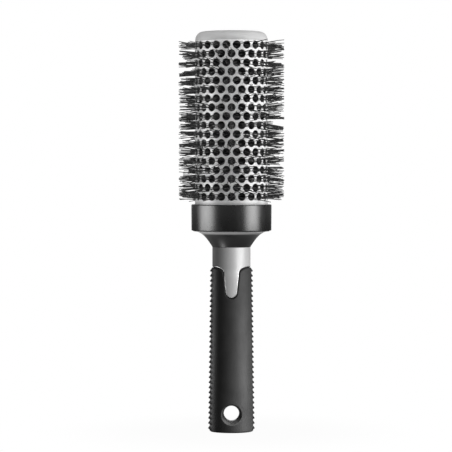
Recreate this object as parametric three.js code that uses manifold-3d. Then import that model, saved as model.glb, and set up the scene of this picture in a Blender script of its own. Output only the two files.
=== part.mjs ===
// A round barrel brush for blow-drying hair, standing on the flat end of its handle.
// Millimetres. +Z runs up the handle and the barrel, -Y is the front, and the origin lies on the
// axis in the plane of the handle's flat end.
import * as THREE from "three";
import { mergeVertices } from "three/addons/utils/BufferGeometryUtils.js";
import Module from "manifold-3d";

// ---- Driving dimensions ----

const fitGap = 0.3; // between pieces that seat on or in each other

// Perforated barrel
const barrelDiameter = 43;
const barrelWall = 1;
const holeDiameter = 4.84; // across the corners of a six-sided hole, as open as a round 4.4
const holesPerRow = 22;
const holeRows = 18;
const rowPitch = 5.2;
const bandBelowHoles = 4.5; // collar's top to the middle of the lowest row
const bandAboveHoles = 3.1; // middle of the top row to the barrel's top edge

// Bristles, and the twisted stem that clamps their roots
const bristleReach = 9.8; // barrel's surface to the tips
const bristleRoot = 1;
const bristleTip = 0.6;
const bristleSplay = 1.2; // most that a tip leans up, down or sideways
const bristleSlices = 3;
const rootPackWall = 1.45; // packed roots round the stem
const wireDiameter = 2.2;
const wirePitch = 28; // length of one full twist
const wireInHandle = 20; // stem below the top of the neck
const wireInCap = 1.8;

// End cap
const capHeight = 5.5;
const capFillet = 5.2;
const capWall = 1.8;
const capSpigot = 1; // reach into the barrel
const capBossWall = 2.8;

// Collar, shoulder and base plug
const collarHeight = 15.3;
const collarWall = 1.7;
const collarChamfer = 0.5;
const shoulderHeight = 9.3;
const shoulderDiameter = 45;
const shoulderFlare = 21; // radius of the concave flare
const shoulderRim = 0.5;
const plugBelowCollar = 2.3; // the plug's wall ends this far below the collar's top
const plugWall = 1.8;
const plugFloor = 3;
const plugBossWall = 2.2;
const plugClamp = 8.5; // stem held in the plug above the handle's spigot

// Handle core
const handleLength = 109; // flat end to the top of the bare neck
const neckDiameter = 22.5;
const neckLength = 11.9; // bare neck above the grip
const spigotDiameter = 14;
const tongueLength = 17.9;
const tongueTopWidth = 9.5;
const tongueEndWidth = 6.4;
const lobeSpan = 20.6; // crown to crown of the grip's two lobes
const lobeDrop = 3.6; // height of a lobe's rounded corner

// Grip
const gripTopWidth = 23.5;
const gripTopDepth = 23.6;
const gripEndWidth = 25.9;
const gripEndDepth = 22.8;
const gripWall = 2.2;
const gripFloor = 2.2;
const gripEndRounding = 1;
const gripTopRounding = 0.5;
const ribPitch = 3;
const ribHeight = 0.75;
const ribSpread = 40; // degrees that a rib runs to either side of the widest line
const plainEnd = 0.5; // least plain length above and below the ribs

// Hanging hole along Y, narrowest in the middle of the handle
const hangHeight = 10.9;
const hangThroat = 9.6;
const hangMouth = 12;
const hangLand = 5; // length of the narrow middle
const hangLining = 1; // rubber between the hole and the core

// How many flats stand for a round surface
const largeRound = 28;
const smallRound = 16;
const wireRound = 4;
const stepsPerTwist = 6;
const cornerSteps = 3;
const ribSteps = 4; // across one side of the grip
const faceSteps = 6; // across the grip's front or back

// ---- Heights and radii worked out from them ----

const barrelRadius = barrelDiameter / 2;
const barrelBore = barrelRadius - barrelWall;
const neckRadius = neckDiameter / 2;
const neckBottom = handleLength - neckLength;
const shoulderBottom = handleLength + fitGap;
const shoulderTop = shoulderBottom + shoulderHeight;
const collarBottom = shoulderTop + fitGap;
const collarTop = collarBottom + collarHeight;
const lowestRow = collarTop + bandBelowHoles;
const topRow = lowestRow + (holeRows - 1) * rowPitch;
const barrelTop = topRow + bandAboveHoles;
const capBottom = barrelTop + fitGap;
const capTop = capBottom + capHeight;

const wireRadius = wireDiameter / 2;
const wireOffset = wireRadius + fitGap; // a wire's middle to the axis
const stemBore = wireOffset + wireRadius + fitGap;
const rootRadius = stemBore + rootPackWall;
const capBossBottom = topRow + (rowPitch + fitGap) / 2;
const plugBossTop = lowestRow - (rowPitch + fitGap) / 2;
const spigotRadius = spigotDiameter / 2;
const spigotBore = spigotRadius + fitGap;
const spigotTop = plugBossTop - plugClamp - fitGap;
const stemBottom = handleLength - wireInHandle;
const stemTop = capBottom + wireInCap;

const turn = 2 * Math.PI;
const frontAngle = -turn / 4;
const holeAngle = turn / holesPerRow;

// ---- Helpers ----

const wasm = await Module();
wasm.setup();

function counted(count) {
  return Array.from({ length: count }, (_, i) => i);
}

// A closed three.js geometry as a manifold-3d solid, ready to be joined or cut.
function solidOf(geometry) {
  const bare = geometry.clone();
  bare.deleteAttribute("normal");
  bare.deleteAttribute("uv");
  const merged = mergeVertices(bare, 1e-4);
  return new wasm.Manifold(
    new wasm.Mesh({
      numProp: 3,
      vertProperties: merged.attributes.position.array,
      triVerts: new Uint32Array(merged.index.array),
    }),
  );
}

// A manifold-3d solid as a three.js geometry.
function geometryOf(solid) {
  const mesh = solid.getMesh();
  return new THREE.BufferGeometry()
    .setAttribute("position", new THREE.BufferAttribute(mesh.vertProperties, 3))
    .setIndex(new THREE.BufferAttribute(mesh.triVerts, 1));
}

// Points and faces gathered one by one, for a surface that no stock geometry has.
class Skin {
  coordinates = [];
  corners = [];

  place(x, y, z) {
    this.coordinates.push(x, y, z);
    return this.coordinates.length / 3 - 1;
  }

  placeRound(radius, angle, z) {
    return this.place(radius * Math.cos(angle), radius * Math.sin(angle), z);
  }

  face(a, b, c) {
    this.corners.push(a, b, c);
  }

  // Four points in order round the face, anticlockwise from outside.
  quad(a, b, c, d) {
    this.face(a, b, c);
    this.face(a, c, d);
  }

  // A strip between two closed rings. It faces outwards where the second ring is the higher one,
  // and upwards where the second is the inner one.
  strip(first, second) {
    first.forEach((point, i) => {
      const next = (i + 1) % first.length;
      this.quad(point, first[next], second[next], second[i]);
    });
  }

  // Triangles between two open chains of unlike lengths. An item holds a point and how far along
  // its chain it is. Seen from outside, the second chain lies to the left of the first.
  zip(first, second) {
    let i = 0;
    let j = 0;
    while (i < first.length - 1 || j < second.length - 1) {
      const firstEnded = i === first.length - 1;
      const secondEnded = j === second.length - 1;
      if (secondEnded || (!firstEnded && first[i + 1].along <= second[j + 1].along)) {
        this.face(first[i].point, first[i + 1].point, second[j].point);
        i += 1;
      } else {
        this.face(first[i].point, second[j + 1].point, second[j].point);
        j += 1;
      }
    }
  }

  geometry() {
    return new THREE.BufferGeometry()
      .setAttribute("position", new THREE.Float32BufferAttribute(this.coordinates, 3))
      .setIndex(this.corners);
  }
}

// A solid turned about the Z axis from [radius, z] points, in order with the solid on their left.
function turned(profile, segments) {
  const startsOnAxis = profile[0][0] === 0;
  const outline = startsOnAxis ? profile : [...profile, profile[0]];
  const points = outline.map(([radius, z]) => new THREE.Vector2(radius, z));
  return new THREE.LatheGeometry(points, segments).rotateX(turn / 4);
}

// [radius, z] points of an arc about a centre, both ends included.
function arcAbout(centreRadius, centreZ, radius, from, to) {
  return counted(cornerSteps + 1).map((step) => {
    const angle = THREE.MathUtils.lerp(from, to, step / cornerSteps);
    return [centreRadius + radius * Math.cos(angle), centreZ + radius * Math.sin(angle)];
  });
}

// A round rod on the axis between two heights.
function rod(radius, from, to, segments) {
  return new THREE.CylinderGeometry(radius, radius, to - from, segments)
    .rotateX(turn / 4)
    .translate(0, 0, (from + to) / 2);
}

// ---- The lattice of holes, which the bristles share ----

// Rows are counted from the top, and every other row is moved round by half a hole.
function rowHeight(row) {
  return topRow - row * rowPitch;
}

function rowStagger(row) {
  return row % 2 === 0 ? 0.5 : 0;
}

function columnAngle(row, column) {
  return frontAngle + (column + rowStagger(row)) * holeAngle;
}

// The item of a ring at a column that may lie one place past either end.
function wrapped(ring, column) {
  return ring[(column + holesPerRow) % holesPerRow];
}

// The column in the next row down that lies half a hole to the left.
function columnBelowLeft(row, column) {
  return column + rowStagger(row) - rowStagger(row + 1) - 0.5;
}

// Points on a ring, each half a hole to the left of its row's hole.
function ringBetweenHoles(skin, row, radius, z) {
  return counted(holesPerRow).map((column) => skin.placeRound(radius, columnAngle(row, column - 0.5), z));
}

// ---- Perforated barrel ----

// The corners of a hole as offsets from its middle, from the top one round by the left.
const [TOP, UPPER_LEFT, LOWER_LEFT, BOTTOM, LOWER_RIGHT, UPPER_RIGHT] = counted(6);
const holeCorners = counted(6).map((corner) => {
  const angle = turn / 4 + (corner * turn) / 6;
  return {
    round: (holeDiameter * Math.cos(angle)) / barrelDiameter,
    up: (holeDiameter * Math.sin(angle)) / 2,
  };
});

// Adds the outer or the inner surface of the tube, and gives its hole rims and its end rings.
function barrelSurface(skin, radius, facesOut) {
  const face = (a, b, c) => (facesOut ? skin.face(a, b, c) : skin.face(a, c, b));
  const holes = counted(holeRows).map((row) =>
    counted(holesPerRow).map((column) =>
      holeCorners.map(({ round, up }) =>
        skin.placeRound(radius, columnAngle(row, column) + round, rowHeight(row) + up),
      ),
    ),
  );
  const lastRow = holeRows - 1;
  const upper = ringBetweenHoles(skin, 0, radius, barrelTop);
  const lower = ringBetweenHoles(skin, lastRow, radius, collarBottom);

  for (const column of counted(holesPerRow)) {
    for (const row of counted(holeRows)) {
      const here = holes[row][column];
      const right = wrapped(holes[row], column + 1);
      face(here[LOWER_RIGHT], right[LOWER_LEFT], right[UPPER_LEFT]);
      face(here[LOWER_RIGHT], right[UPPER_LEFT], here[UPPER_RIGHT]);
      if (row === lastRow) continue;
      const belowColumn = columnBelowLeft(row, column);
      const belowLeft = wrapped(holes[row + 1], belowColumn);
      const belowRight = wrapped(holes[row + 1], belowColumn + 1);
      face(belowLeft[TOP], belowLeft[UPPER_RIGHT], here[BOTTOM]);
      face(belowLeft[UPPER_RIGHT], belowRight[UPPER_LEFT], here[BOTTOM]);
      face(belowRight[UPPER_LEFT], belowRight[TOP], here[BOTTOM]);
      face(right[BOTTOM], right[LOWER_LEFT], belowRight[TOP]);
      face(right[LOWER_LEFT], here[LOWER_RIGHT], belowRight[TOP]);
      face(here[LOWER_RIGHT], here[BOTTOM], belowRight[TOP]);
    }
    const high = holes[0][column];
    const highRight = wrapped(holes[0], column + 1);
    const upperRight = wrapped(upper, column + 1);
    face(upper[column], high[TOP], upperRight);
    face(high[TOP], high[UPPER_RIGHT], upperRight);
    face(high[UPPER_RIGHT], highRight[UPPER_LEFT], upperRight);
    face(highRight[UPPER_LEFT], highRight[TOP], upperRight);
    const low = holes[lastRow][column];
    const lowRight = wrapped(holes[lastRow], column + 1);
    const lowerRight = wrapped(lower, column + 1);
    face(lowRight[BOTTOM], lowRight[LOWER_LEFT], lowerRight);
    face(lowRight[LOWER_LEFT], low[LOWER_RIGHT], lowerRight);
    face(low[LOWER_RIGHT], low[BOTTOM], lowerRight);
    face(low[BOTTOM], lower[column], lowerRight);
  }
  return { rims: holes.flat(), upper, lower };
}

function barrel() {
  const skin = new Skin();
  const outside = barrelSurface(skin, barrelRadius, true);
  const inside = barrelSurface(skin, barrelBore, false);
  outside.rims.forEach((rim, i) => skin.strip(rim, inside.rims[i]));
  skin.strip(outside.upper, inside.upper);
  skin.strip(inside.lower, outside.lower);
  return skin.geometry();
}

// ---- Bristles ----

// A repeatable number between -1 and 1 for each strand.
function scatter(first, second) {
  return Math.sin(first * 12.9898 + second * 78.233);
}

// One strand for each hole of the given rows, fused to their slice of the packed roots. A strand
// stands on a triangle, whose two feet it shares with its neighbours, and ends in an upright edge.
function bristles(firstRow, endRow) {
  const skin = new Skin();
  const tipRadius = barrelRadius + bristleReach;
  const lastRow = endRow - 1;
  const rows = counted(endRow - firstRow).map((i) => firstRow + i);
  const feet = rows.map((row) =>
    ringBetweenHoles(skin, row, rootRadius, rowHeight(row) - bristleRoot / 2),
  );
  const peaks = rows.map((row) =>
    counted(holesPerRow).map((column) =>
      skin.placeRound(rootRadius, columnAngle(row, column), rowHeight(row) + bristleRoot / 2),
    ),
  );

  for (const [i, row] of rows.entries()) {
    for (const column of counted(holesPerRow)) {
      const left = feet[i][column];
      const right = wrapped(feet[i], column + 1);
      const peak = peaks[i][column];
      const tipAngle = columnAngle(row, column) + (scatter(row, column) * bristleSplay) / tipRadius;
      const tipHeight = rowHeight(row) + scatter(column, row) * bristleSplay;
      const tipLow = skin.placeRound(tipRadius, tipAngle, tipHeight - bristleTip / 2);
      const tipHigh = skin.placeRound(tipRadius, tipAngle, tipHeight + bristleTip / 2);
      skin.face(left, right, tipLow);
      skin.quad(left, tipLow, tipHigh, peak);
      skin.quad(right, peak, tipHigh, tipLow);
      if (row === lastRow) continue;
      const below = columnBelowLeft(row, column);
      const footBelow = wrapped(feet[i + 1], below + 1);
      skin.face(wrapped(peaks[i + 1], below), footBelow, left);
      skin.face(footBelow, wrapped(peaks[i + 1], below + 1), right);
      skin.face(right, left, footBelow);
    }
  }

  const topEnd = rowHeight(firstRow) + (rowPitch - fitGap) / 2;
  const lowEnd = rowHeight(lastRow) - (rowPitch - fitGap) / 2;
  const upper = ringBetweenHoles(skin, firstRow, rootRadius, topEnd);
  const lower = ringBetweenHoles(skin, lastRow, rootRadius, lowEnd);
  const boreUpper = ringBetweenHoles(skin, firstRow, stemBore, topEnd);
  const boreLower = ringBetweenHoles(skin, firstRow, stemBore, lowEnd);
  for (const column of counted(holesPerRow)) {
    const upperRight = wrapped(upper, column + 1);
    skin.face(feet[0][column], peaks[0][column], upper[column]);
    skin.face(peaks[0][column], wrapped(feet[0], column + 1), upperRight);
    skin.face(peaks[0][column], upperRight, upper[column]);
  }
  skin.strip(lower, feet.at(-1));
  skin.strip(upper, boreUpper);
  skin.strip(boreUpper, boreLower);
  skin.strip(boreLower, lower);
  return skin.geometry();
}

// ---- Twisted stem ----

// The middle line of one of the two stem wires.
class WireLine extends THREE.Curve {
  constructor(startAngle) {
    super();
    this.startAngle = startAngle;
  }

  getPoint(t, target = new THREE.Vector3()) {
    const rise = t * (stemTop - stemBottom);
    const angle = this.startAngle + (turn * rise) / wirePitch;
    const x = wireOffset * Math.cos(angle);
    const y = wireOffset * Math.sin(angle);
    return target.set(x, y, stemBottom + rise);
  }
}

function stemWire(startAngle) {
  const section = counted(wireRound).map((corner) => {
    const angle = (corner * turn) / wireRound;
    return new THREE.Vector2(wireRadius * Math.cos(angle), wireRadius * Math.sin(angle));
  });
  const twists = (stemTop - stemBottom) / wirePitch;
  return new THREE.ExtrudeGeometry(new THREE.Shape(section), {
    steps: Math.ceil(twists * stepsPerTwist),
    extrudePath: new WireLine(startAngle),
  });
}

// ---- End cap, collar, shoulder and base plug ----

function endCap() {
  const socketTop = stemTop + fitGap;
  const plateBottom = capTop - capWall;
  const spigotOuter = barrelBore - fitGap;
  const spigotInner = spigotOuter - capWall;
  const spigotBottom = barrelTop - capSpigot;
  const fillet = Math.min(capFillet, capHeight - fitGap);
  return turned(
    [
      [0, socketTop],
      [stemBore, socketTop],
      [stemBore, capBossBottom],
      [stemBore + capBossWall, capBossBottom],
      [stemBore + capBossWall, plateBottom],
      [spigotInner, plateBottom],
      [spigotInner, spigotBottom],
      [spigotOuter, spigotBottom],
      [spigotOuter, capBottom],
      [barrelRadius, capBottom],
      ...arcAbout(barrelRadius - fillet, capTop - fillet, fillet, 0, turn / 4),
      [0, capTop],
    ],
    largeRound,
  );
}

function collar() {
  const inner = barrelRadius + fitGap;
  const outer = inner + collarWall;
  return turned(
    [
      [inner, collarBottom],
      [outer - collarChamfer, collarBottom],
      [outer, collarBottom + collarChamfer],
      [outer, collarTop],
      [inner, collarTop],
    ],
    largeRound,
  );
}

function shoulder() {
  const start = new THREE.Vector2(neckRadius, shoulderBottom);
  const end = new THREE.Vector2(shoulderDiameter / 2, shoulderTop - shoulderRim);
  // The flare's centre lies outside and below, at one radius from both ends of the flare.
  const chord = end.clone().sub(start);
  const toCentre = Math.sqrt(shoulderFlare ** 2 - chord.lengthSq() / 4) / chord.length();
  const centre = start
    .clone()
    .add(end)
    .multiplyScalar(0.5)
    .add(new THREE.Vector2(chord.y, -chord.x).multiplyScalar(toCentre));
  const from = start.clone().sub(centre).angle();
  const to = end.clone().sub(centre).angle();
  return turned(
    [
      [spigotBore, shoulderBottom],
      ...arcAbout(centre.x, centre.y, shoulderFlare, from, to),
      [end.x, shoulderTop],
      [spigotBore, shoulderTop],
    ],
    largeRound,
  );
}

function basePlug() {
  const outer = barrelBore - fitGap;
  const wallTop = collarTop - plugBelowCollar;
  const floorTop = collarBottom + plugFloor;
  const boss = spigotBore + plugBossWall;
  return turned(
    [
      [spigotBore, collarBottom],
      [outer, collarBottom],
      [outer, wallTop],
      [outer - plugWall, wallTop],
      [outer - plugWall, floorTop],
      [boss, floorTop],
      [boss, plugBossTop],
      [stemBore, plugBossTop],
      [stemBore, spigotTop + fitGap],
      [spigotBore, spigotTop + fitGap],
    ],
    smallRound,
  );
}

// ---- Handle ----

// Half the grip's width and depth at a height, without its ribs.
function gripHalf(z) {
  const rise = z / neckBottom;
  return {
    width: THREE.MathUtils.lerp(gripEndWidth, gripTopWidth, rise) / 2,
    depth: THREE.MathUtils.lerp(gripEndDepth, gripTopDepth, rise) / 2,
  };
}

// A bar with the grip's oval section, drawn in by a wall's thickness.
function ovalBar(inset, from, to) {
  const geometry = rod(1, from, to, smallRound);
  const position = geometry.attributes.position;
  for (const i of counted(position.count)) {
    const half = gripHalf(position.getZ(i));
    position.setX(i, position.getX(i) * (half.width - inset));
    position.setY(i, position.getY(i) * (half.depth - inset));
  }
  return geometry;
}

// What the core shows, seen from the front: the neck, and the tongue between the grip's lobes.
// The block is grown by a margin and runs through the whole depth.
function bareRegion(margin) {
  const beyond = gripEndWidth;
  const edge = neckBottom - margin;
  const lobeWidth = (lobeSpan - tongueTopWidth) / 2 - margin;
  const lobeHeight = lobeDrop - margin;
  const lobeCentre = neckBottom - lobeDrop;
  const tongueRound = tongueEndWidth / 2;
  const tongueCentre = neckBottom - tongueLength + tongueRound;
  const region = new THREE.Shape();
  region.moveTo(-beyond, edge);
  region.lineTo(-lobeSpan / 2, edge);
  region.absellipse(-lobeSpan / 2, lobeCentre, lobeWidth, lobeHeight, turn / 4, 0, true);
  region.absarc(0, tongueCentre, tongueRound + margin, turn / 2, 0, false);
  region.absellipse(lobeSpan / 2, lobeCentre, lobeWidth, lobeHeight, turn / 2, turn / 4, true);
  region.lineTo(beyond, edge);
  region.lineTo(beyond, handleLength + beyond);
  region.lineTo(-beyond, handleLength + beyond);
  const settings = { depth: 2 * beyond, bevelEnabled: false, curveSegments: cornerSteps };
  return new THREE.ExtrudeGeometry(region, settings).translate(0, 0, -beyond).rotateX(turn / 4);
}

// The hanging hole, grown by a margin and longer than the handle is deep.
function hangingHole(margin) {
  const { depth } = gripHalf(hangHeight);
  const reach = 2 * depth;
  const land = hangLand / 2;
  const throat = hangThroat / 2 + margin;
  const widening = (hangMouth - hangThroat) / 2 / (depth - land);
  const mouth = throat + widening * (reach - land);
  const profile = [
    new THREE.Vector2(0, -reach),
    new THREE.Vector2(mouth, -reach),
    new THREE.Vector2(throat, -land),
    new THREE.Vector2(throat, land),
    new THREE.Vector2(mouth, reach),
    new THREE.Vector2(0, reach),
  ];
  return new THREE.LatheGeometry(profile, smallRound).translate(0, 0, hangHeight);
}

function handleCore() {
  const bar = ovalBar(gripWall + fitGap, gripFloor + fitGap, neckBottom);
  const neck = rod(neckRadius, neckBottom - tongueLength - fitGap, handleLength, largeRound);
  const spigot = rod(spigotRadius, neckBottom, spigotTop, smallRound);
  const stemHole = rod(stemBore, stemBottom - fitGap, spigotTop + fitGap, smallRound);
  return geometryOf(
    solidOf(neck)
      .intersect(solidOf(bareRegion(0)))
      .add(solidOf(bar))
      .add(solidOf(spigot))
      .subtract(solidOf(stemHole))
      .subtract(solidOf(hangingHole(hangLining + fitGap))),
  );
}

// The grip's outer surface with its ribs, closed at both ends.
function gripBody() {
  const skin = new Skin();
  const spread = THREE.MathUtils.degToRad(ribSpread);
  const ribCount = Math.floor((neckBottom - 2 * plainEnd) / ribPitch);
  const ribsFrom = (neckBottom - ribCount * ribPitch) / 2;
  const ribsTo = ribsFrom + ribCount * ribPitch;
  const at = (angle, z, proud) => {
    const half = gripHalf(z);
    return skin.place((half.width + proud) * Math.cos(angle), (half.depth + proud) * Math.sin(angle), z);
  };

  // Between two valleys a rib's crest rises in the middle of the side and dies out at its ends.
  const sideAngles = counted(ribSteps + 1).map((step) => spread * ((2 * step) / ribSteps - 1));
  const sides = [0, turn / 2].map((middle) => {
    const valleys = counted(ribCount + 1).map((rib) =>
      sideAngles.map((along) => ({ point: at(middle + along, ribsFrom + rib * ribPitch, 0), along })),
    );
    for (const rib of counted(ribCount)) {
      const z = ribsFrom + (rib + 0.5) * ribPitch;
      const crest = sideAngles.slice(1, -1).map((along) => {
        const proud = ribHeight * (1 - (along / spread) ** 2);
        return { point: at(middle + along, z, proud), along };
      });
      const below = valleys[rib];
      const above = valleys[rib + 1];
      skin.zip(below, crest);
      skin.zip(crest, above);
      skin.face(below[0].point, crest[0].point, above[0].point);
      skin.face(below.at(-1).point, above.at(-1).point, crest.at(-1).point);
    }
    // The side's columns, each from the lowest valley up.
    return sideAngles.map((along, i) => ({
      angle: middle + along,
      chain: valleys.map((valley, rib) => ({ point: valley[i].point, along: rib / ribCount })),
    }));
  });

  // The plain front and back between the two ribbed sides.
  const faces = sides.map((side, i) => {
    const from = side.at(-1);
    const to = sides[(i + 1) % sides.length][0];
    const step = (turn / 2 - 2 * spread) / faceSteps;
    const inner = counted(faceSteps - 1).map((column) => {
      const angle = from.angle + (column + 1) * step;
      const chain = [ribsFrom, ribsTo].map((z, along) => ({ point: at(angle, z, 0), along }));
      return { angle, chain };
    });
    const across = [from, ...inner, to];
    across.slice(1).forEach((column, j) => skin.zip(column.chain, across[j].chain));
    return inner;
  });

  const columns = [...sides[0], ...faces[0], ...sides[1], ...faces[1]];
  const lowRing = columns.map(({ chain }) => chain[0].point);
  const highRing = columns.map(({ chain }) => chain.at(-1).point);
  const endRing = columns.map(({ angle }) => at(angle, 0, -gripEndRounding));
  const topRing = columns.map(({ angle }) => at(angle, neckBottom, -gripTopRounding));
  skin.strip(endRing, lowRing);
  skin.strip(highRing, topRing);
  const endMiddle = skin.place(0, 0, 0);
  const topMiddle = skin.place(0, 0, neckBottom);
  columns.forEach((_, i) => {
    const next = (i + 1) % columns.length;
    skin.face(endMiddle, endRing[next], endRing[i]);
    skin.face(topMiddle, topRing[i], topRing[next]);
  });
  return skin.geometry();
}

function grip() {
  const lining = solidOf(hangingHole(hangLining));
  const hollow = solidOf(ovalBar(gripWall, gripFloor, handleLength)).subtract(lining);
  return geometryOf(
    solidOf(gripBody())
      .subtract(hollow)
      .subtract(solidOf(bareRegion(fitGap)))
      .subtract(solidOf(hangingHole(0))),
  );
}

// ---- Finishes and assembly ----

function finish(color, roughness, metalness) {
  return new THREE.MeshStandardMaterial({ color, roughness, metalness });
}

const ceramic = finish(0x9d9c9a, 0.45, 0.35);
const palePlastic = finish(0xb6b5b3, 0.5, 0);
const nylon = finish(0x1b1b1c, 0.45, 0);
const steel = finish(0x8d9194, 0.3, 1);
const glossBlack = finish(0x17181a, 0.2, 0);
const innerPlastic = finish(0x2a2b2e, 0.6, 0);
const silverPlastic = finish(0xa3a5a7, 0.35, 0.4);
const softBlack = finish(0x2b2b2c, 0.7, 0);

const brush = new THREE.Group();

function add(name, geometry, material) {
  const mesh = new THREE.Mesh(geometry, material);
  mesh.name = name;
  brush.add(mesh);
}

add("end_cap", endCap(), palePlastic);
add("barrel", barrel(), ceramic);
for (const slice of counted(bristleSlices)) {
  const firstRow = Math.floor((slice * holeRows) / bristleSlices);
  const endRow = Math.floor(((slice + 1) * holeRows) / bristleSlices);
  add(`bristles_${slice + 1}`, bristles(firstRow, endRow), nylon);
}
add("stem_wire_1", stemWire(0), steel);
add("stem_wire_2", stemWire(turn / 2), steel);
add("base_plug", basePlug(), innerPlastic);
add("collar", collar(), glossBlack);
add("shoulder", shoulder(), glossBlack);
add("handle_core", handleCore(), silverPlastic);
add("grip", grip(), softBlack);

export default brush;
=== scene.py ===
# %% [markdown]
# # A round barrel brush for blow-drying hair
#
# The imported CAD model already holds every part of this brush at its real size. This lesson
# dresses it: it replaces the plain solids that show with fine meshes, and gives every part the
# finish of the real one. Lengths are metres. +Z runs up the brush, and its front faces -Y.

import math

import bmesh
import bpy
import numpy as np
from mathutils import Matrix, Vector
from mathutils.geometry import delaunay_2d_cdt, interpolate_bezier


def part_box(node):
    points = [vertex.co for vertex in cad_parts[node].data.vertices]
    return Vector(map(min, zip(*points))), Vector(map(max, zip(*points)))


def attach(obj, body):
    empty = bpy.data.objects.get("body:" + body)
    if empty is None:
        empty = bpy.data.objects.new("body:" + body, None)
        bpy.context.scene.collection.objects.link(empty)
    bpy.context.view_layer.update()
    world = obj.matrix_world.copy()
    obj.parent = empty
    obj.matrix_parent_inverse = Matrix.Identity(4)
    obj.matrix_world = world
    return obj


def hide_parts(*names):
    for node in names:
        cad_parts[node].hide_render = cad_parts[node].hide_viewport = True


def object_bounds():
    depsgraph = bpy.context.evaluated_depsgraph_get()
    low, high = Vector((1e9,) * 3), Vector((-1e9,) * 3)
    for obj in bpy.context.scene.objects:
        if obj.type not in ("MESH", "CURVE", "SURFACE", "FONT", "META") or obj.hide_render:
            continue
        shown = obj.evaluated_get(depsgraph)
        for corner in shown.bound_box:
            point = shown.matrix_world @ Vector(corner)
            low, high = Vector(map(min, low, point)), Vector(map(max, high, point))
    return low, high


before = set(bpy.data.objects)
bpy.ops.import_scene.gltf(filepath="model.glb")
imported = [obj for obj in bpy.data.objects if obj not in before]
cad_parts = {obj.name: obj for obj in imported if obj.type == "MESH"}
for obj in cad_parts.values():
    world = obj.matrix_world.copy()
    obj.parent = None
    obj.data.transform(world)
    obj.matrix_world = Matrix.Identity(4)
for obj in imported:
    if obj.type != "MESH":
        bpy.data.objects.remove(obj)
cad_low, cad_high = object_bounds()
size = cad_high - cad_low
print("nodes:", ", ".join(sorted(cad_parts)))
print(f"the brush is {size.x:.4f} x {size.y:.4f} x {size.z:.4f} m")

MM = 0.001
TURN = 2 * math.pi

# %% [markdown]
# ## Writing node trees as formulas
#
# Geometry Nodes and shader nodes are both graphs of sockets. Placed one by one in a script they
# are hard to read, so this small class lets one output be added, scaled or compared like a
# number. A line such as `angle = column * step` then makes the Math node that it names.


# %% A readable node graph
class Wire:
    """One output of a node, which works in formulas like a number."""

    def __init__(self, graph, socket):
        self.graph = graph
        self.socket = socket

    def __add__(self, other):
        return self.graph.math("ADD", self, other)

    def __sub__(self, other):
        return self.graph.math("SUBTRACT", self, other)

    def __rsub__(self, other):
        return self.graph.math("SUBTRACT", other, self)

    def __mul__(self, other):
        return self.graph.math("MULTIPLY", self, other)

    def __truediv__(self, other):
        return self.graph.math("DIVIDE", self, other)

    __radd__ = __add__
    __rmul__ = __mul__


class Graph:
    """A node tree under construction."""

    def __init__(self, tree):
        self.tree = tree

    def node(self, kind, inputs=None, **settings):
        """Adds a node. Inputs are named, or numbered where two share a name."""
        made = self.tree.nodes.new(kind)
        for name, value in settings.items():
            setattr(made, name, value)
        for key, value in (inputs or {}).items():
            if isinstance(key, str):
                socket = next(s for s in made.inputs if s.enabled and s.name == key)
            else:
                socket = made.inputs[key]
            self.plug(socket, value)
        return made

    def plug(self, socket, value):
        """Links a wire or a node's first output to a socket, or sets a plain value on it."""
        if isinstance(value, bpy.types.Node):
            value = self.wire(value)
        if isinstance(value, Wire):
            self.tree.links.new(value.socket, socket)
        else:
            socket.default_value = value

    def wire(self, made, name=0):
        """A node's output as a wire."""
        if isinstance(name, int):
            return Wire(self, made.outputs[name])
        return Wire(self, next(s for s in made.outputs if s.enabled and s.name == name))

    def math(self, operation, *values):
        inputs = dict(enumerate(values))
        return self.wire(self.node("ShaderNodeMath", inputs, operation=operation))

    def between(self, value, low, high):
        """The value, held between two limits."""
        return self.math("MINIMUM", self.math("MAXIMUM", value, low), high)

    def ramp(self, value, low, high, to_low=0.0, to_high=1.0):
        """Runs smoothly from one number to another while value goes from low to high."""
        inputs = {"Value": value, "From Min": low, "From Max": high}
        inputs.update({"To Min": to_low, "To Max": to_high})
        return self.wire(self.node("ShaderNodeMapRange", inputs, interpolation_type="SMOOTHSTEP"))

    def vector(self, x, y, z):
        return self.wire(self.node("ShaderNodeCombineXYZ", {"X": x, "Y": y, "Z": z}))

    def parts(self, vector):
        """The x, y and z of a vector."""
        split = self.node("ShaderNodeSeparateXYZ", {"Vector": vector})
        return [self.wire(split, i) for i in range(3)]

    def polar(self, angle, radius, height):
        """The place at that angle and distance round the upright axis."""
        x = self.math("COSINE", angle) * radius
        y = self.math("SINE", angle) * radius
        return self.vector(x, y, height)


trial = Graph(bpy.data.node_groups.new("trial", "ShaderNodeTree"))
trial_value = trial.wire(trial.node("ShaderNodeValue"))
trial.math("SQRT", trial_value * 2 + 1)
print("the root of value * 2 + 1 makes", [node.name for node in trial.tree.nodes])
bpy.data.node_groups.remove(trial.tree)


# %% [markdown]
# ## Shared surface effects
#
# No real surface is one flat colour: moulded plastic has the fine grain of its mould, and a
# handled tool has faint smears that change how sharply it reflects. Pictures could paint them on,
# but would blur close up. Here they are patterns of noise, each a shader node group that is built
# once for all the finishes that use it. The groups read Object coordinates, which stay fixed on
# the brush whichever way it is seen.


# %% The node groups for grain, smears and flakes
def shader_group(name, inputs):
    """An empty shader node group with named inputs: its graph, and its input wires."""
    tree = bpy.data.node_groups.new(name, "ShaderNodeTree")
    for label, default in inputs.items():
        socket = tree.interface.new_socket(name=label, in_out="INPUT", socket_type="NodeSocketFloat")
        socket.default_value = default
    graph = Graph(tree)
    entry = graph.node("NodeGroupInput")
    return graph, {label: graph.wire(entry, label) for label in inputs}


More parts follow.
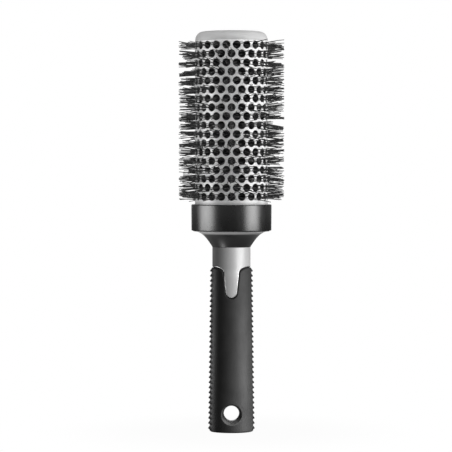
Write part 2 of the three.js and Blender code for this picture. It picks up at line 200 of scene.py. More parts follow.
def end_group(graph, outputs):
    """Gives the group its named outputs."""
    interface = graph.tree.interface
    for label in outputs:
        interface.new_socket(name=label, in_out="OUTPUT", socket_type="NodeSocketFloat")
    result = graph.node("NodeGroupOutput")
    for label, value in outputs.items():
        graph.plug(result.inputs[label], value)
    return graph.tree


def object_coordinates(graph):
    """Where each point of the surface is on the brush, in metres."""
    return graph.wire(graph.node("ShaderNodeTexCoord"), "Object")


def height_here(graph):
    """How high up the brush each point of the surface lies."""
    _, _, height = graph.parts(object_coordinates(graph))
    return height


def noise(graph, coordinates, scale, detail=2.0, roughness=0.5):
    """Smooth noise from 0 to 1, with about as many lumps a metre as its scale."""
    inputs = {"Vector": coordinates, "Scale": scale, "Detail": detail, "Roughness": roughness}
    return graph.wire(graph.node("ShaderNodeTexNoise", inputs))


def build_moulded_grain():
    """Fine even pits, and broad soft patches where the moulding cooled unevenly."""
    g, given = shader_group(
        "moulded_grain", {"Pits per metre": 4000.0, "Patches per metre": 70.0}
    )
    place = object_coordinates(g)
    pits = noise(g, place, given["Pits per metre"], detail=3.0, roughness=0.6)
    patches = noise(g, place, given["Patches per metre"])
    return end_group(g, {"Height": pits, "Tone": g.ramp(patches, 0.3, 0.7)})


def build_touch_smears():
    """Faint smears of handling, longer along the brush than across it."""
    g, given = shader_group("touch_smears", {"Smears per metre": 120.0, "Stretch": 0.35})
    x, y, z = g.parts(object_coordinates(g))
    stretched = g.vector(x, y, z * given["Stretch"])
    broad = noise(g, stretched, given["Smears per metre"], detail=4.0, roughness=0.65)
    return end_group(g, {"Mask": g.ramp(broad, 0.42, 0.72)})


def build_metal_flakes():
    """Each flake of a metallic coat lies at its own tilt, and so has its own brightness."""
    g, given = shader_group("metal_flakes", {"Flakes per metre": 7000.0})
    inputs = {"Vector": object_coordinates(g), "Scale": given["Flakes per metre"]}
    cells = g.wire(g.node("ShaderNodeTexVoronoi", inputs), "Color")
    return end_group(g, {"Flake": g.node("ShaderNodeSeparateColor", {"Color": cells})})


GRAIN = build_moulded_grain()
SMEARS = build_touch_smears()
FLAKES = build_metal_flakes()
print("shared effects:", GRAIN.name, SMEARS.name, FLAKES.name)


# %% [markdown]
# ## A finish
#
# Every finish here is one Principled shader, which can be plastic, rubber, paint or metal. What
# is the same all over goes straight onto its sockets, and only what changes over the surface
# comes in by a wire, so that each finish is a few lines and still exports whole.


# %% The start of every material
def grey(level):
    """A neutral colour from its brightness on screen, 0 to 1, as linear RGBA."""
    linear = ((level + 0.055) / 1.055) ** 2.4 if level > 0.04 else level / 12.92
    return (linear, linear, linear, 1.0)


print(f"middle grey on screen sends back {grey(0.5)[0]:.3f} of the light")


class Finish(Graph):
    """A material with one Principled shader, whose varying inputs are wired up one by one."""

    def __init__(self, name, color, roughness, **uniform):
        self.material = bpy.data.materials.new(name)
        self.material.use_nodes = True
        super().__init__(self.material.node_tree)
        self.shader = self.tree.nodes["Principled BSDF"]
        self.shader.inputs["Base Color"].default_value = color
        self.shader.inputs["Roughness"].default_value = roughness
        for label, value in uniform.items():
            self.shader.inputs[label.replace("_", " ")].default_value = value
        self.material.diffuse_color = color

    def effect(self, tree, output, **inputs):
        """Places a shared effect with this finish's own values."""
        made = self.node("ShaderNodeGroup", node_tree=tree)
        for label, value in inputs.items():
            made.inputs[label.replace("_", " ")].default_value = value
        return self.wire(made, output)

    def mix_color(self, mask, first, second):
        """Base colour from first to second as the mask goes from 0 to 1."""
        inputs = {"Factor": mask, "A": first, "B": second}
        mixed = self.node("ShaderNodeMix", inputs, data_type="RGBA")
        self.plug(self.shader.inputs["Base Color"], self.wire(mixed, "Result"))

    def roughen(self, mask, low, high):
        """Roughness from low to high as the mask goes from 0 to 1."""
        self.plug(self.shader.inputs["Roughness"], self.ramp(mask, 0.0, 1.0, low, high))

    def bump(self, height, distance, strength):
        """Relief too fine for geometry, as deep as the distance."""
        inputs = {"Height": height, "Distance": distance, "Strength": strength}
        self.plug(self.shader.inputs["Normal"], self.node("ShaderNodeBump", inputs))


# %% [markdown]
# ## The finishes of this brush
#
# The barrel is thin aluminium under a grey ceramic coat, whose fine flakes give it a satin glow,
# with painted shade darkening it where it stands in the collar. The cap is plain light plastic. The
# collar and shoulder are polished black, so they mirror the lamps, but for a rougher band at the
# shoulder's top whose colour is painted light grey, a painted highlight. The neck is painted silver.
# The grip is soft-touch rubber with a fine matte grain, painted shade along its ribs, and a glossier
# lower side of the hanging hole with a painted highlight. The barrel's painted shade and the band
# depend on height alone. Ribs and the hole's lower side don't, so the grip's own node tree stores
# them on its points, and the finish reads them from there.


# %% Ceramic coat, pale plastic and silver paint
BLACK = grey(0.0)
WHITE = grey(1.0)
# how far above the collar the painted shade reaches
PAINTED_SHADE_HEIGHT = 2.3 * MM
_, collar_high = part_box("collar")


def ceramic_coat():
    """Grey coat with fine flakes, and painted shade that darkens it just above the collar."""
    f = Finish("ceramic_coat", grey(0.93), 0.42, Metallic=0.15, IOR=1.5)
    # painted shade: the coat darkens to half its brightness towards the collar, as if the collar
    # shaded it
    unshaded = f.ramp(height_here(f), collar_high.z, collar_high.z + PAINTED_SHADE_HEIGHT, 0.5, 1.0)
    flake = f.effect(FLAKES, "Flake", Flakes_per_metre=5500.0)
    f.mix_color((0.84 + flake * 0.16) * unshaded, BLACK, grey(0.975))
    f.roughen(f.effect(SMEARS, "Mask", Smears_per_metre=90.0), 0.40, 0.47)
    f.bump(f.effect(GRAIN, "Height", Pits_per_metre=3500.0), 0.02 * MM, 0.5)
    return f.material


def pale_plastic():
    f = Finish("pale_plastic", grey(0.725), 0.45, IOR=1.46)
    f.mix_color(f.effect(GRAIN, "Tone"), grey(0.71), grey(0.735))
    f.roughen(f.effect(SMEARS, "Mask"), 0.42, 0.5)
    f.bump(f.effect(GRAIN, "Height", Pits_per_metre=2600.0), 0.02 * MM, 0.6)
    return f.material


def silver_paint():
    f = Finish("silver_paint", grey(0.74), 0.48, Metallic=0.05, IOR=2.1)
    flake = f.effect(FLAKES, "Flake", Flakes_per_metre=9000.0)
    f.mix_color(flake, grey(0.7), grey(0.78))
    f.roughen(f.effect(SMEARS, "Mask"), 0.44, 0.52)
    return f.material


def polished_silver():
    """The same silver where the edge is worn bright."""
    f = Finish("polished_silver", grey(0.9), 0.26, Metallic=0.9)
    f.roughen(f.effect(SMEARS, "Mask"), 0.22, 0.32)
    f.bump(f.effect(GRAIN, "Height"), 0.01 * MM, 0.3)
    return f.material


CERAMIC_COAT = ceramic_coat()
PALE_PLASTIC = pale_plastic()
SILVER_PAINT = silver_paint()
POLISHED_SILVER = polished_silver()
print("pale:", CERAMIC_COAT.name, PALE_PLASTIC.name, SILVER_PAINT.name, POLISHED_SILVER.name)


# %% Polished black, soft rubber, nylon, steel and the hidden plug
# Between these heights the black turns rougher, and its colour turns light grey, a painted
# highlight.
SATIN_AND_PAINTED_HIGHLIGHT_FROM = 116.3 * MM  # up the shoulder's flare the gloss turns to satin between these heights
SATIN_AND_PAINTED_HIGHLIGHT_TO = 117.5 * MM


def polished_black():
    f = Finish("polished_black", grey(0.1), 0.3, IOR=1.95)
    f.roughen(f.effect(SMEARS, "Mask", Smears_per_metre=160.0), 0.27, 0.33)
    f.bump(f.effect(GRAIN, "Tone", Patches_per_metre=350.0), 0.02 * MM, 0.3)
    return f.material


def banded_black():
    """Polished black with a rougher band at its top, whose colour is painted light grey as a painted
    highlight.
    """
    f = Finish("banded_black", grey(0.1), 0.3, IOR=1.5)
    satin_and_painted_highlight = f.ramp(height_here(f), SATIN_AND_PAINTED_HIGHLIGHT_FROM, SATIN_AND_PAINTED_HIGHLIGHT_TO)
    # painted highlight: the band's colour is light grey, as if it caught light from below
    f.mix_color(satin_and_painted_highlight, grey(0.08), grey(0.66))
    f.roughen(satin_and_painted_highlight, 0.3, 0.5)
    f.bump(f.effect(GRAIN, "Height", Pits_per_metre=5000.0), 0.02 * MM, 0.4)
    return f.material


def stored(finish, name):
    """A number that a node tree stored on the piece's points."""
    return finish.wire(finish.node("ShaderNodeAttribute", attribute_name=name), "Fac")


def soft_rubber():
    """Matte and faintly pitted, with painted shade along its ribs, and glossier with a painted
    highlight on the hanging hole's lower side.
    """
    f = Finish("soft_rubber", grey(0.22), 0.64, IOR=1.5)
    rib = stored(f, "rib")
    worn = stored(f, "worn")
    plain = 0.035 + f.effect(GRAIN, "Tone", Patches_per_metre=110.0) * 0.01
    # painted shade darkens the ribs, and a painted highlight lightens the lower side of the hanging
    # hole
    f.mix_color(plain * (1 - rib * 0.75) + worn * 0.13, BLACK, WHITE)
    matte = f.ramp(f.effect(SMEARS, "Mask"), 0.0, 1.0, 0.6, 0.68)
    f.plug(f.shader.inputs["Roughness"], matte + rib * 0.2 - worn * 0.34)
    f.bump(f.effect(GRAIN, "Height", Pits_per_metre=3000.0), 0.05 * MM, 0.8)
    return f.material


def black_nylon():
    """Each strand has its own tone, and painted highlights in flecks of noise along it."""
    f = Finish("black_nylon", grey(0.15), 0.38, IOR=1.53)
    tone = stored(f, "strand_tone")
    painted_glint = f.ramp(noise(f, object_coordinates(f), 1400.0, detail=1.0), 0.45, 0.66)
    # painted highlight: lighter flecks stand in for glints on the strands
    f.mix_color(tone * 0.25 + painted_glint * 0.75, grey(0.065), grey(0.33))
    f.roughen(tone, 0.34, 0.46)
    return f.material


def drawn_steel():
    f = Finish("drawn_steel", grey(0.58), 0.3, Metallic=1.0)
    f.roughen(f.effect(SMEARS, "Mask", Stretch=0.05), 0.24, 0.42)
    f.bump(f.effect(GRAIN, "Height"), 0.01 * MM, 0.4)
    return f.material


def inner_plastic():
    f = Finish("inner_plastic", grey(0.2), 0.6)
    f.mix_color(f.effect(GRAIN, "Tone"), grey(0.18), grey(0.22))
    f.bump(f.effect(GRAIN, "Height"), 0.03 * MM, 0.6)
    return f.material


POLISHED_BLACK = polished_black()
BLACK_WITH_PAINTED_HIGHLIGHT_BAND = banded_black()
SOFT_RUBBER = soft_rubber()
BLACK_NYLON = black_nylon()
DRAWN_STEEL = drawn_steel()
INNER_PLASTIC = inner_plastic()
print("dark:", POLISHED_BLACK.name, BLACK_WITH_PAINTED_HIGHLIGHT_BAND.name, SOFT_RUBBER.name, BLACK_NYLON.name)
print("inside:", DRAWN_STEEL.name, INNER_PLASTIC.name)


# %% [markdown]
# ## Making and settling pieces
#
# A finished piece is a plain mesh whose object lies at the origin, as the CAD nodes are. Pieces
# that start with modifiers are evaluated once, and the result becomes their own mesh. This way
# nothing changes later when the brush is exported.


# %% Helpers for pieces
def link(name, mesh):
    """An object in the scene that shows the mesh."""
    piece = bpy.data.objects.new(name, mesh)
    bpy.context.scene.collection.objects.link(piece)
    return piece


def settle(piece, material):
    """Turns what the piece's modifiers show into its own plain mesh, with one material."""
    depsgraph = bpy.context.evaluated_depsgraph_get()
    shown = piece.evaluated_get(depsgraph)
    mesh = bpy.data.meshes.new_from_object(shown, depsgraph=depsgraph)
    piece.modifiers.clear()
    mesh.materials.clear()
    mesh.materials.append(material)
    mesh.polygons.foreach_set("material_index", [0] * len(mesh.polygons))
    piece.data = mesh
    return piece


def dress(piece, node):
    """Lets the piece stand for a CAD node, on the brush's one body."""
    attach(piece, "root")
    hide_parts(node)
    triangles = sum(len(p.vertices) - 2 for p in piece.data.polygons)
    print(f"{piece.name}: {triangles} triangles of {piece.data.materials[0].name}")


# %% Helpers for Geometry Nodes trees
SOCKETS = {int: "NodeSocketInt", float: "NodeSocketFloat"}


def geometry_tree(name, sizes):
    """An empty Geometry Nodes tree with an input for each size, its graph and its input wires."""
    tree = bpy.data.node_groups.new(name, "GeometryNodeTree")
    interface = tree.interface
    interface.new_socket(name="Geometry", in_out="INPUT", socket_type="NodeSocketGeometry")
    for label, value in sizes.items():
        interface.new_socket(name=label, in_out="INPUT", socket_type=SOCKETS[type(value)])
    interface.new_socket(name="Material", in_out="INPUT", socket_type="NodeSocketMaterial")
    interface.new_socket(name="Geometry", in_out="OUTPUT", socket_type="NodeSocketGeometry")
    graph = Graph(tree)
    entry = graph.node("NodeGroupInput")
    wires = {label: graph.wire(entry, label) for label in ["Geometry", *sizes, "Material"]}
    return graph, wires


def end_tree(graph, geometry, material):
    """Ends a tree as every tree here ends: real meshes instead of instances, and a material."""
    real = graph.node("GeometryNodeRealizeInstances", {"Geometry": geometry})
    painted = graph.node("GeometryNodeSetMaterial", {"Geometry": real, "Material": material})
    result = graph.node("NodeGroupOutput")
    graph.plug(result.inputs[0], painted)
    print(f"{graph.tree.name}: a tree of {len(graph.tree.nodes)} nodes")
    return graph.tree


def grow(piece, tree, sizes, material):
    """Puts a tree on a piece. Each value goes in by its socket's identifier."""
    modifier = piece.modifiers.new(tree.name, "NODES")
    modifier.node_group = tree
    values = {**sizes, "Material": material}
    for item in tree.interface.items_tree:
        if item.in_out == "INPUT" and item.name in values:
            modifier[item.identifier] = values[item.name]
    return piece


def position(graph):
    """The x, y and z of each point of the geometry."""
    return graph.parts(graph.node("GeometryNodeInputPosition"))


def move(graph, geometry, places):
    """Puts each point of the geometry at its new place."""
    return graph.node("GeometryNodeSetPosition", {"Geometry": geometry, "Position": places})


def smoothed(graph, geometry):
    return graph.node("GeometryNodeSetShadeSmooth", {"Geometry": geometry})


def store(graph, geometry, name, value, domain):
    """Keeps a number with each point or curve, for the finish to read."""
    inputs = {"Geometry": geometry, "Name": name, "Value": value}
    return graph.node("GeometryNodeStoreNamedAttribute", inputs, data_type="FLOAT", domain=domain)


# %% [markdown]
# ## The barrel
#
# The real barrel is a sheet punched with staggered rows of round holes and rolled to a tube.
# Cutting four hundred holes with booleans is slow and leaves ragged faces, so the tree here
# copies the real making: one cell with its hole, laid out as a flat sheet, then rolled up. A
# Solidify modifier gives the sheet its wall, and a Bevel rounds the lips of the holes.


# %% The barrel's sizes
barrel_low, barrel_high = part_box("barrel")
BARREL_RADIUS = barrel_high.x
BARREL_WALL = 1.0 * MM  # of the CAD barrel, which the cap fits
HOLES_ROUND = 22
HOLE_ROWS = 18
ROW_PITCH = 5.2 * MM
TOP_ROW = barrel_high.z - 2.9 * MM
BARREL_SIZES = {
    "Rows": HOLE_ROWS,
    "Holes Round": HOLES_ROUND,
    "Row Pitch": ROW_PITCH,
    "Radius": BARREL_RADIUS,
    "Hole Radius": 2.36 * MM,
    "Top Row": TOP_ROW,
    "Top Edge": barrel_high.z,
    "Bottom Edge": barrel_low.z,
}
hole_step = TURN * BARREL_RADIUS / HOLES_ROUND
print(f"{HOLES_ROUND * HOLE_ROWS} holes, {hole_step / MM:.2f} mm apart in a row")


# %% One cell of the sheet
STEPS_UP = 4  # between the points up each side of a cell
STEPS_ACROSS = 6  # and along its top and bottom
RIM_POINTS = 2 * (STEPS_UP + STEPS_ACROSS)  # as many round the hole


def punched_cell(g, hole_radius, half_width, half_height):
    """The hole's rim, and a second ring that is pushed out to the cell's four sides."""
    rim = g.node("GeometryNodeMeshCircle", {"Vertices": RIM_POINTS, "Radius": hole_radius})
    ring = g.node("GeometryNodeExtrudeMesh", {"Mesh": rim, "Offset Scale": 0.0}, mode="EDGES")
    x, y, _ = position(g)
    quarter = RIM_POINTS / 4
    step = g.math("ROUND", g.math("ARCTAN2", y, x) * (RIM_POINTS / TURN))
    past_top = g.math("ABSOLUTE", step - quarter)
    from_top = g.math("MINIMUM", past_top, RIM_POINTS - past_top)
    across = g.between((quarter - g.math("ABSOLUTE", step)) / (STEPS_ACROSS / 2), -1, 1)
    up = g.between((quarter - from_top) / (STEPS_UP / 2), -1, 1)
    border = g.vector(across * half_width, up * half_height, 0.0)
    inputs = {"Geometry": ring, "Selection": g.wire(ring, "Top"), "Position": border}
    return g.node("GeometryNodeSetPosition", inputs)


print(f"{RIM_POINTS} faces lie round each hole, before the sheet gets its wall")


# %% The sheet of cells, rolled to a tube
def staggered(g, given, hole, first_row=0):
    """A hole's row, and its place in it. Every other row starts half a hole further on."""
    row = g.math("FLOOR", hole / given["Holes Round"]) + first_row
    place = g.math("MODULO", hole, given["Holes Round"])
    return row, place + (1 - g.math("MODULO", row, 2)) / 2


def sheet_of_cells(g, given, cell, width):
    """A cell for each hole, side by side in one flat sheet."""
    row, place = staggered(g, given, g.wire(g.node("GeometryNodeInputIndex")))
    centre = g.vector(place * width, 0 - row * given["Row Pitch"], 0.0)
    count = given["Rows"] * given["Holes Round"]
    centres = g.node("GeometryNodePoints", {"Count": count, "Position": centre})
    cells = g.node("GeometryNodeInstanceOnPoints", {"Points": centres, "Instance": cell})
    return g.node("GeometryNodeRealizeInstances", {"Geometry": cells})


def rolled_up(g, given, sheet):
    """The sheet bent round, so that its two ends meet and weld. It starts at the front."""
    x, y, _ = position(g)
    angle = x / given["Radius"] - TURN / 4
    tube = move(g, sheet, g.polar(angle, given["Radius"], y + given["Top Row"]))
    return g.node("GeometryNodeMergeByDistance", {"Geometry": tube, "Distance": 0.01 * MM})


def plain_band(g, tube, cells_end, edge, side):
    """Carries the tube on from the last row of cells, at its top or bottom, to its edge."""
    faces = g.wire(g.node("GeometryNodeInputMeshEdgeNeighbors"))
    _, _, height = position(g)
    open_edge = g.math("LESS_THAN", faces, 1.5)  # it has one face, and others have two
    at_end = g.math("GREATER_THAN", (height - cells_end) * side, -0.1 * MM)
    carry = g.vector(0.0, 0.0, edge - cells_end)
    inputs = {"Mesh": tube, "Selection": open_edge * at_end, "Offset": carry}
    return g.node("GeometryNodeExtrudeMesh", inputs, mode="EDGES")


def build_perforated_tube():
    g, given = geometry_tree("perforated_tube", BARREL_SIZES)
    half_height = given["Row Pitch"] / 2
    half_width = given["Radius"] * math.pi / given["Holes Round"]
    cell = punched_cell(g, given["Hole Radius"], half_width, half_height)
    tube = rolled_up(g, given, sheet_of_cells(g, given, cell, half_width * 2))
    last_row = given["Top Row"] - (given["Rows"] - 1) * given["Row Pitch"]
    tube = plain_band(g, tube, given["Top Row"] + half_height, given["Top Edge"], 1)
    tube = plain_band(g, tube, last_row - half_height, given["Bottom Edge"], -1)
    return end_tree(g, smoothed(g, tube), given["Material"])


PERFORATED_TUBE = build_perforated_tube()


# %% Punch, roll and thicken the barrel
SHOWN_WALL = 0.5 * MM  # the wall that the holes' edges show
HOLE_LIP = 0.1 * MM


def make_barrel():
    piece = link("perforated_barrel", bpy.data.meshes.new("perforated_barrel"))
    grow(piece, PERFORATED_TUBE, BARREL_SIZES, CERAMIC_COAT)
    wall = piece.modifiers.new("wall", "SOLIDIFY")
    wall.thickness = SHOWN_WALL
    wall.offset = -1.0
    lips = piece.modifiers.new("lips", "BEVEL")
    lips.width = HOLE_LIP
    lips.segments = 2
    lips.limit_method = "ANGLE"
    lips.angle_limit = math.radians(60)
    normals = piece.modifiers.new("normals", "WEIGHTED_NORMAL")
    normals.keep_sharp = True
    dress(settle(piece, CERAMIC_COAT), "barrel")


make_barrel()


# %% [markdown]
# ## The bristles
#
# Each hole of a real brush holds a tuft of nylon strands whose roots are clamped in the twisted
# stem. The strands fan out a little through the hole, wander, and end at one common radius, with
# a few short ones. Hair particles could draw them, but an exported part needs plain mesh. So one
# curve is duplicated a few thousand times: its number tells each copy its hole, and fixed random
# numbers tell it where in the hole it stands and how it bends.


# %% The bristles' sizes
_, bristle_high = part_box("bristles_1")
TIP_RADIUS = bristle_high.x - 0.1 * MM
ROOT_RADIUS = 4.25 * MM
STEM_BORE = 2.8 * MM
STRANDS_A_HOLE = 6
SLICES = 3
ROWS_A_SLICE = HOLE_ROWS // SLICES
FIRST_SEED = 40


def tuft_sizes(slice_number):
    return {
        "First Row": slice_number * ROWS_A_SLICE,
        "Rows": ROWS_A_SLICE,
        "Holes Round": HOLES_ROUND,
        "Strands": STRANDS_A_HOLE,
        "Row Pitch": ROW_PITCH,
        "Top Row": TOP_ROW,
        "Root Radius": ROOT_RADIUS - 0.2 * MM,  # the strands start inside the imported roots
        "Barrel Radius": BARREL_RADIUS,
        "Tip Radius": TIP_RADIUS,
        "Tuft Room": 1.85 * MM,  # the tuft's radius where it passes the hole
        "Strand Radius": 0.22 * MM,
        "Seed": FIRST_SEED + slice_number,
    }


print(f"{STRANDS_A_HOLE * HOLES_ROUND * HOLE_ROWS} strands reach {TIP_RADIUS / MM:.1f} mm")


# %% Bars along curves
def straight_curve(g, points):
    """A straight curve with as many points, and how far along it each one is, from 0 to 1."""
    line = g.node("GeometryNodeCurvePrimitiveLine")
    curve = g.node("GeometryNodeResampleCurve", {"Curve": line, "Count": points})
    return curve, g.wire(g.node("GeometryNodeSplineParameter"), "Factor")


def sweep(g, curve, sides, radius):
    """A round bar along each curve, with closed ends."""
    section = g.node("GeometryNodeCurvePrimitiveCircle", {"Resolution": sides, "Radius": radius})
    inputs = {"Curve": curve, "Profile Curve": section, "Fill Caps": True}
    return smoothed(g, g.node("GeometryNodeCurveToMesh", inputs))


# %% The tree that grows a slice of bristles
def build_bristle_tufts():
    g, given = geometry_tree("bristle_tufts", tuft_sizes(0))
    strand, along = straight_curve(g, 8)
    amount = given["Rows"] * given["Holes Round"] * given["Strands"]
    inputs = {"Geometry": strand, "Amount": amount}
    copies = g.node("GeometryNodeDuplicateElements", inputs, domain="SPLINE")
    number = g.wire(copies, "Duplicate Index")

    def chance(seed, low=0.0, high=1.0):
        """A fixed random number for each strand."""
        inputs = {"Min": low, "Max": high, "ID": number, "Seed": given["Seed"] + seed}
        return g.wire(g.node("FunctionNodeRandomValue", inputs, data_type="FLOAT"), "Value")

    # The strand's hole, and where that hole is.
    hole = g.math("FLOOR", number / given["Strands"])
    row, place = staggered(g, given, hole, given["First Row"])
    hole_angle = place * TURN / given["Holes Round"] - TURN / 4
    hole_height = given["Top Row"] - row * given["Row Pitch"]

    def drift(seed, low, high):
        """A number that changes slowly from tuft to tuft, because neighbours bend alike."""
        at = g.polar(hole_angle, 1.0, row * 3.7 + seed)
        return g.ramp(noise(g, at, 1.3, detail=0.0), 0.32, 0.68, low, high)

    # How far out each point of it lies. About one strand in four falls short of the tips' radius.
    shortness = g.ramp(chance(1), 0.72, 1.0, 0.0, 0.22) + chance(2, 0.0, 0.012)
    reach = given["Tip Radius"] - given["Root Radius"]
    out = given["Root Radius"] + reach * along * (1 - shortness)

    # Its place in the tuft: spread evenly round, with a chance distance from the middle.
    share = (g.math("MODULO", number, given["Strands"]) + chance(3) * 0.5) / given["Strands"]
    bearing = share * TURN + drift(4, 0.0, TURN / 3)
    room = g.math("SQRT", chance(5, 0.15, 1.0)) * given["Tuft Room"]

    # What it does past its hole: the tuft splays and leans, and the strand strays and waves.
    fan = out / given["Barrel Radius"]
    past_hole = g.math("MAXIMUM", fan - 0.8, 0.0) / 0.65
    splay = past_hole * drift(20, -0.75, 0.9)
    stray = g.ramp(chance(6), 0.75, 1.0, 0.4, 2.2) * MM
    wave = g.math("SINE", along * chance(7, 5.0, 14.0) + chance(8, 0.0, TURN))
    wave = wave * past_hole * chance(12, 0.05, 0.3) * MM
    lean_round = (chance(9, -1.0, 1.0) * stray + drift(21, -1.0, 1.0) * MM) * past_hole
    lean_up = (chance(10, -1.0, 1.0) * stray + drift(22, -1.4, 1.4) * MM) * past_hole

    # All of it as a place, and a bar grown along the strand.
    gathered = g.ramp(out, given["Root Radius"], given["Barrel Radius"], 1.6, 1.0)
    across = g.math("COSINE", bearing) * room * (fan * gathered + splay) + lean_round - wave
    up = g.math("SINE", bearing) * room * (gathered + splay) + lean_up + wave
    bent = move(g, copies, g.polar(hole_angle + across / out, out, hole_height + up))
    toned = store(g, bent, "strand_tone", chance(11), "CURVE")
    joined = g.node("GeometryNodeJoinGeometry")
    g.plug(joined.inputs[0], given["Geometry"])
    g.plug(joined.inputs[0], sweep(g, toned, 5, given["Strand Radius"]))
    return end_tree(g, joined, given["Material"])


BRISTLE_TUFTS = build_bristle_tufts()


# %% [markdown]
# ## Turned pieces
#
# The cap, the collar, the shoulder and the roots' sleeve are all round, so a section turned about
# the axis makes them. A Screw modifier would do it too, but would leave the pole on the axis open.
# A section is a list of corners with a rounding each. The helper replaces every corner by an arc,
# because a moulded edge always has a small radius that catches the light.


# %% Turn a section into a round piece
def rounded(corners, steps=5):
    """Points of a closed section. A corner is (radius, height, rounding)."""
    points = []
    count = len(corners)
    for i, (r, z, rounding) in enumerate(corners):
        here = Vector((r, z))
        before = Vector(corners[i - 1][:2]) - here
        after = Vector(corners[(i + 1) % count][:2]) - here
        if rounding <= 0:
            points.append(here)
            continue
        half = before.angle(after) / 2
        reach = rounding / math.tan(half)
        centre = here + (before.normalized() + after.normalized()).normalized() * (
            rounding / math.sin(half)
        )
        start = here + before.normalized() * reach - centre
        swing = start.angle_signed(here + after.normalized() * reach - centre)
        for step in range(steps + 1):
            turn = -swing * step / steps
            cos, sin = math.cos(turn), math.sin(turn)
            arm = Vector((start.x * cos - start.y * sin, start.x * sin + start.y * cos))
            points.append(centre + arm)
    return points


def turned(name, section, material, segments=144):
    """A closed round mesh from a section. Points on the axis become poles."""
    bm = bmesh.new()
    rings = []
    for r, z in section:
        if r < 1e-7:
            rings.append([bm.verts.new((0.0, 0.0, z))] * segments)
            continue
        angles = [TURN * k / segments for k in range(segments)]
        rings.append([bm.verts.new((r * math.cos(a), r * math.sin(a), z)) for a in angles])
    for i, ring in enumerate(rings):
        above = rings[(i + 1) % len(rings)]
        for k in range(segments):
            n = (k + 1) % segments
            corners = list(dict.fromkeys((ring[k], ring[n], above[n], above[k])))
            if len(corners) > 2:
                bm.faces.new(corners)
    bmesh.ops.recalc_face_normals(bm, faces=bm.faces)
    mesh = bpy.data.meshes.new(name)
    bm.to_mesh(mesh)
    bm.free()
    mesh.materials.append(material)
    mesh.shade_smooth()
    mesh.set_sharp_from_angle(angle=math.radians(35))
    return link(name, mesh)


washer = [(1.0, 0.0, 0.1), (2.0, 0.0, 0.1), (2.0, 0.5, 0.1), (1.0, 0.5, 0.1)]
print(f"the section of a washer has {len(washer)} corners, and {len(rounded(washer))} points")


# %% Grow the three slices of bristles round their packed roots
SLICE_GAP = 0.3 * MM
ROOTS_ROUNDING = 0.3 * MM


def roots_sleeve(slice_number):
    """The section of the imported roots, half a row longer than its tufts at each end."""
    top = TOP_ROW - (slice_number * ROWS_A_SLICE - 0.5) * ROW_PITCH - SLICE_GAP / 2
    bottom = top - ROWS_A_SLICE * ROW_PITCH + SLICE_GAP
    return [
        (STEM_BORE, bottom, 0.0),
        (ROOT_RADIUS, bottom, ROOTS_ROUNDING),
        (ROOT_RADIUS, top, ROOTS_ROUNDING),
        (STEM_BORE, top, 0.0),
    ]


def make_bristles():
    for number in range(SLICES):
        sleeve = rounded(roots_sleeve(number))
        piece = turned(f"tufts_{number + 1}", sleeve, BLACK_NYLON, 48)
        grow(piece, BRISTLE_TUFTS, tuft_sizes(number), BLACK_NYLON)
        dress(settle(piece, BLACK_NYLON), f"bristles_{number + 1}")


make_bristles()


# %% [markdown]
# ## Cap, collar and shoulder
#
# The cap is a shallow cup with a wide rounded edge, seated on the barrel with a hairline seam and
# a little narrower than it there. The collar is a plain band whose small edge radii draw a thin
# line of light. The shoulder sweeps in to the neck on one concave curve, which shows the floor's
# light at its top and the dark room below.


# %% Turn the cap
def make_end_cap():
    low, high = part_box("end_cap")
    seam = barrel_high.z + 0.07 * MM
    bore = BARREL_RADIUS - BARREL_WALL - 0.3 * MM
    skirt_bore = bore - 1.8 * MM
    skirt_end = barrel_high.z - 1.0 * MM
    plate = high.z - 1.8 * MM
    boss = 5.6 * MM
    socket = seam + 2.1 * MM
    section = [
        (0.0, high.z, 0.0),
        (9.0 * MM, high.z, 6.0 * MM),
        (BARREL_RADIUS - 0.35 * MM, high.z - 0.3 * MM, 4.8 * MM),
        (BARREL_RADIUS - 0.15 * MM, seam, 0.15 * MM),
        (bore, seam, 0.0),
        (bore, skirt_end, 0.2 * MM),
        (skirt_bore, skirt_end, 0.2 * MM),
        (skirt_bore, plate, 0.6 * MM),
        (boss, plate, 0.6 * MM),
        (boss, low.z, 0.2 * MM),
        (STEM_BORE, low.z, 0.2 * MM),
        (STEM_BORE, socket, 0.0),
        (0.0, socket, 0.0),
    ]
    piece = turned("barrel_cap", rounded(section, steps=12), PALE_PLASTIC)
    dress(piece, "end_cap")


make_end_cap()


# %% Turn the collar and the shoulder
NECK_RADIUS = 11.25 * MM


def make_collar():
    low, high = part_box("collar")
    inner = BARREL_RADIUS + 0.3 * MM
    bottom = low.z - 0.08 * MM
    section = [
        (inner, bottom, 0.0),
        (high.x + 0.1 * MM, bottom, 0.3 * MM),
        (high.x + 0.2 * MM, high.z, 0.6 * MM),
        (inner, high.z, 0.15 * MM),
    ]
    dress(turned("collar_ring", rounded(section), POLISHED_BLACK), "collar")


def make_shoulder():
    low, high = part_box("shoulder")
    spigot = 7.3 * MM
    top = high.z + 0.15 * MM
    bottom = low.z - 0.25 * MM
    foot = Vector((NECK_RADIUS, bottom))
    edge = Vector((high.x, high.z - 0.2 * MM))
    leaves_foot = foot + Vector((4.5, 7.5)) * MM
    meets_edge = edge - Vector((3.5, 0.0)) * MM
    section = [
        (spigot, bottom),
        *interpolate_bezier(foot, leaves_foot, meets_edge, edge, 32),
        (high.x, top - 0.15 * MM),
        (high.x - 0.15 * MM, top),
        (spigot, top),
    ]
    dress(turned("flared_shoulder", section, BLACK_WITH_PAINTED_HIGHLIGHT_BAND), "shoulder")


make_collar()
make_shoulder()


# %% [markdown]
# ## The twisted stem
#
# Two steel wires twisted about each other run up the middle and clamp the bristles' roots. Hardly
# any of it shows through the holes, but it is what holds the brush together. A straight curve bent
# to a helix and swept with a circle makes one wire, and half a turn more makes the other.


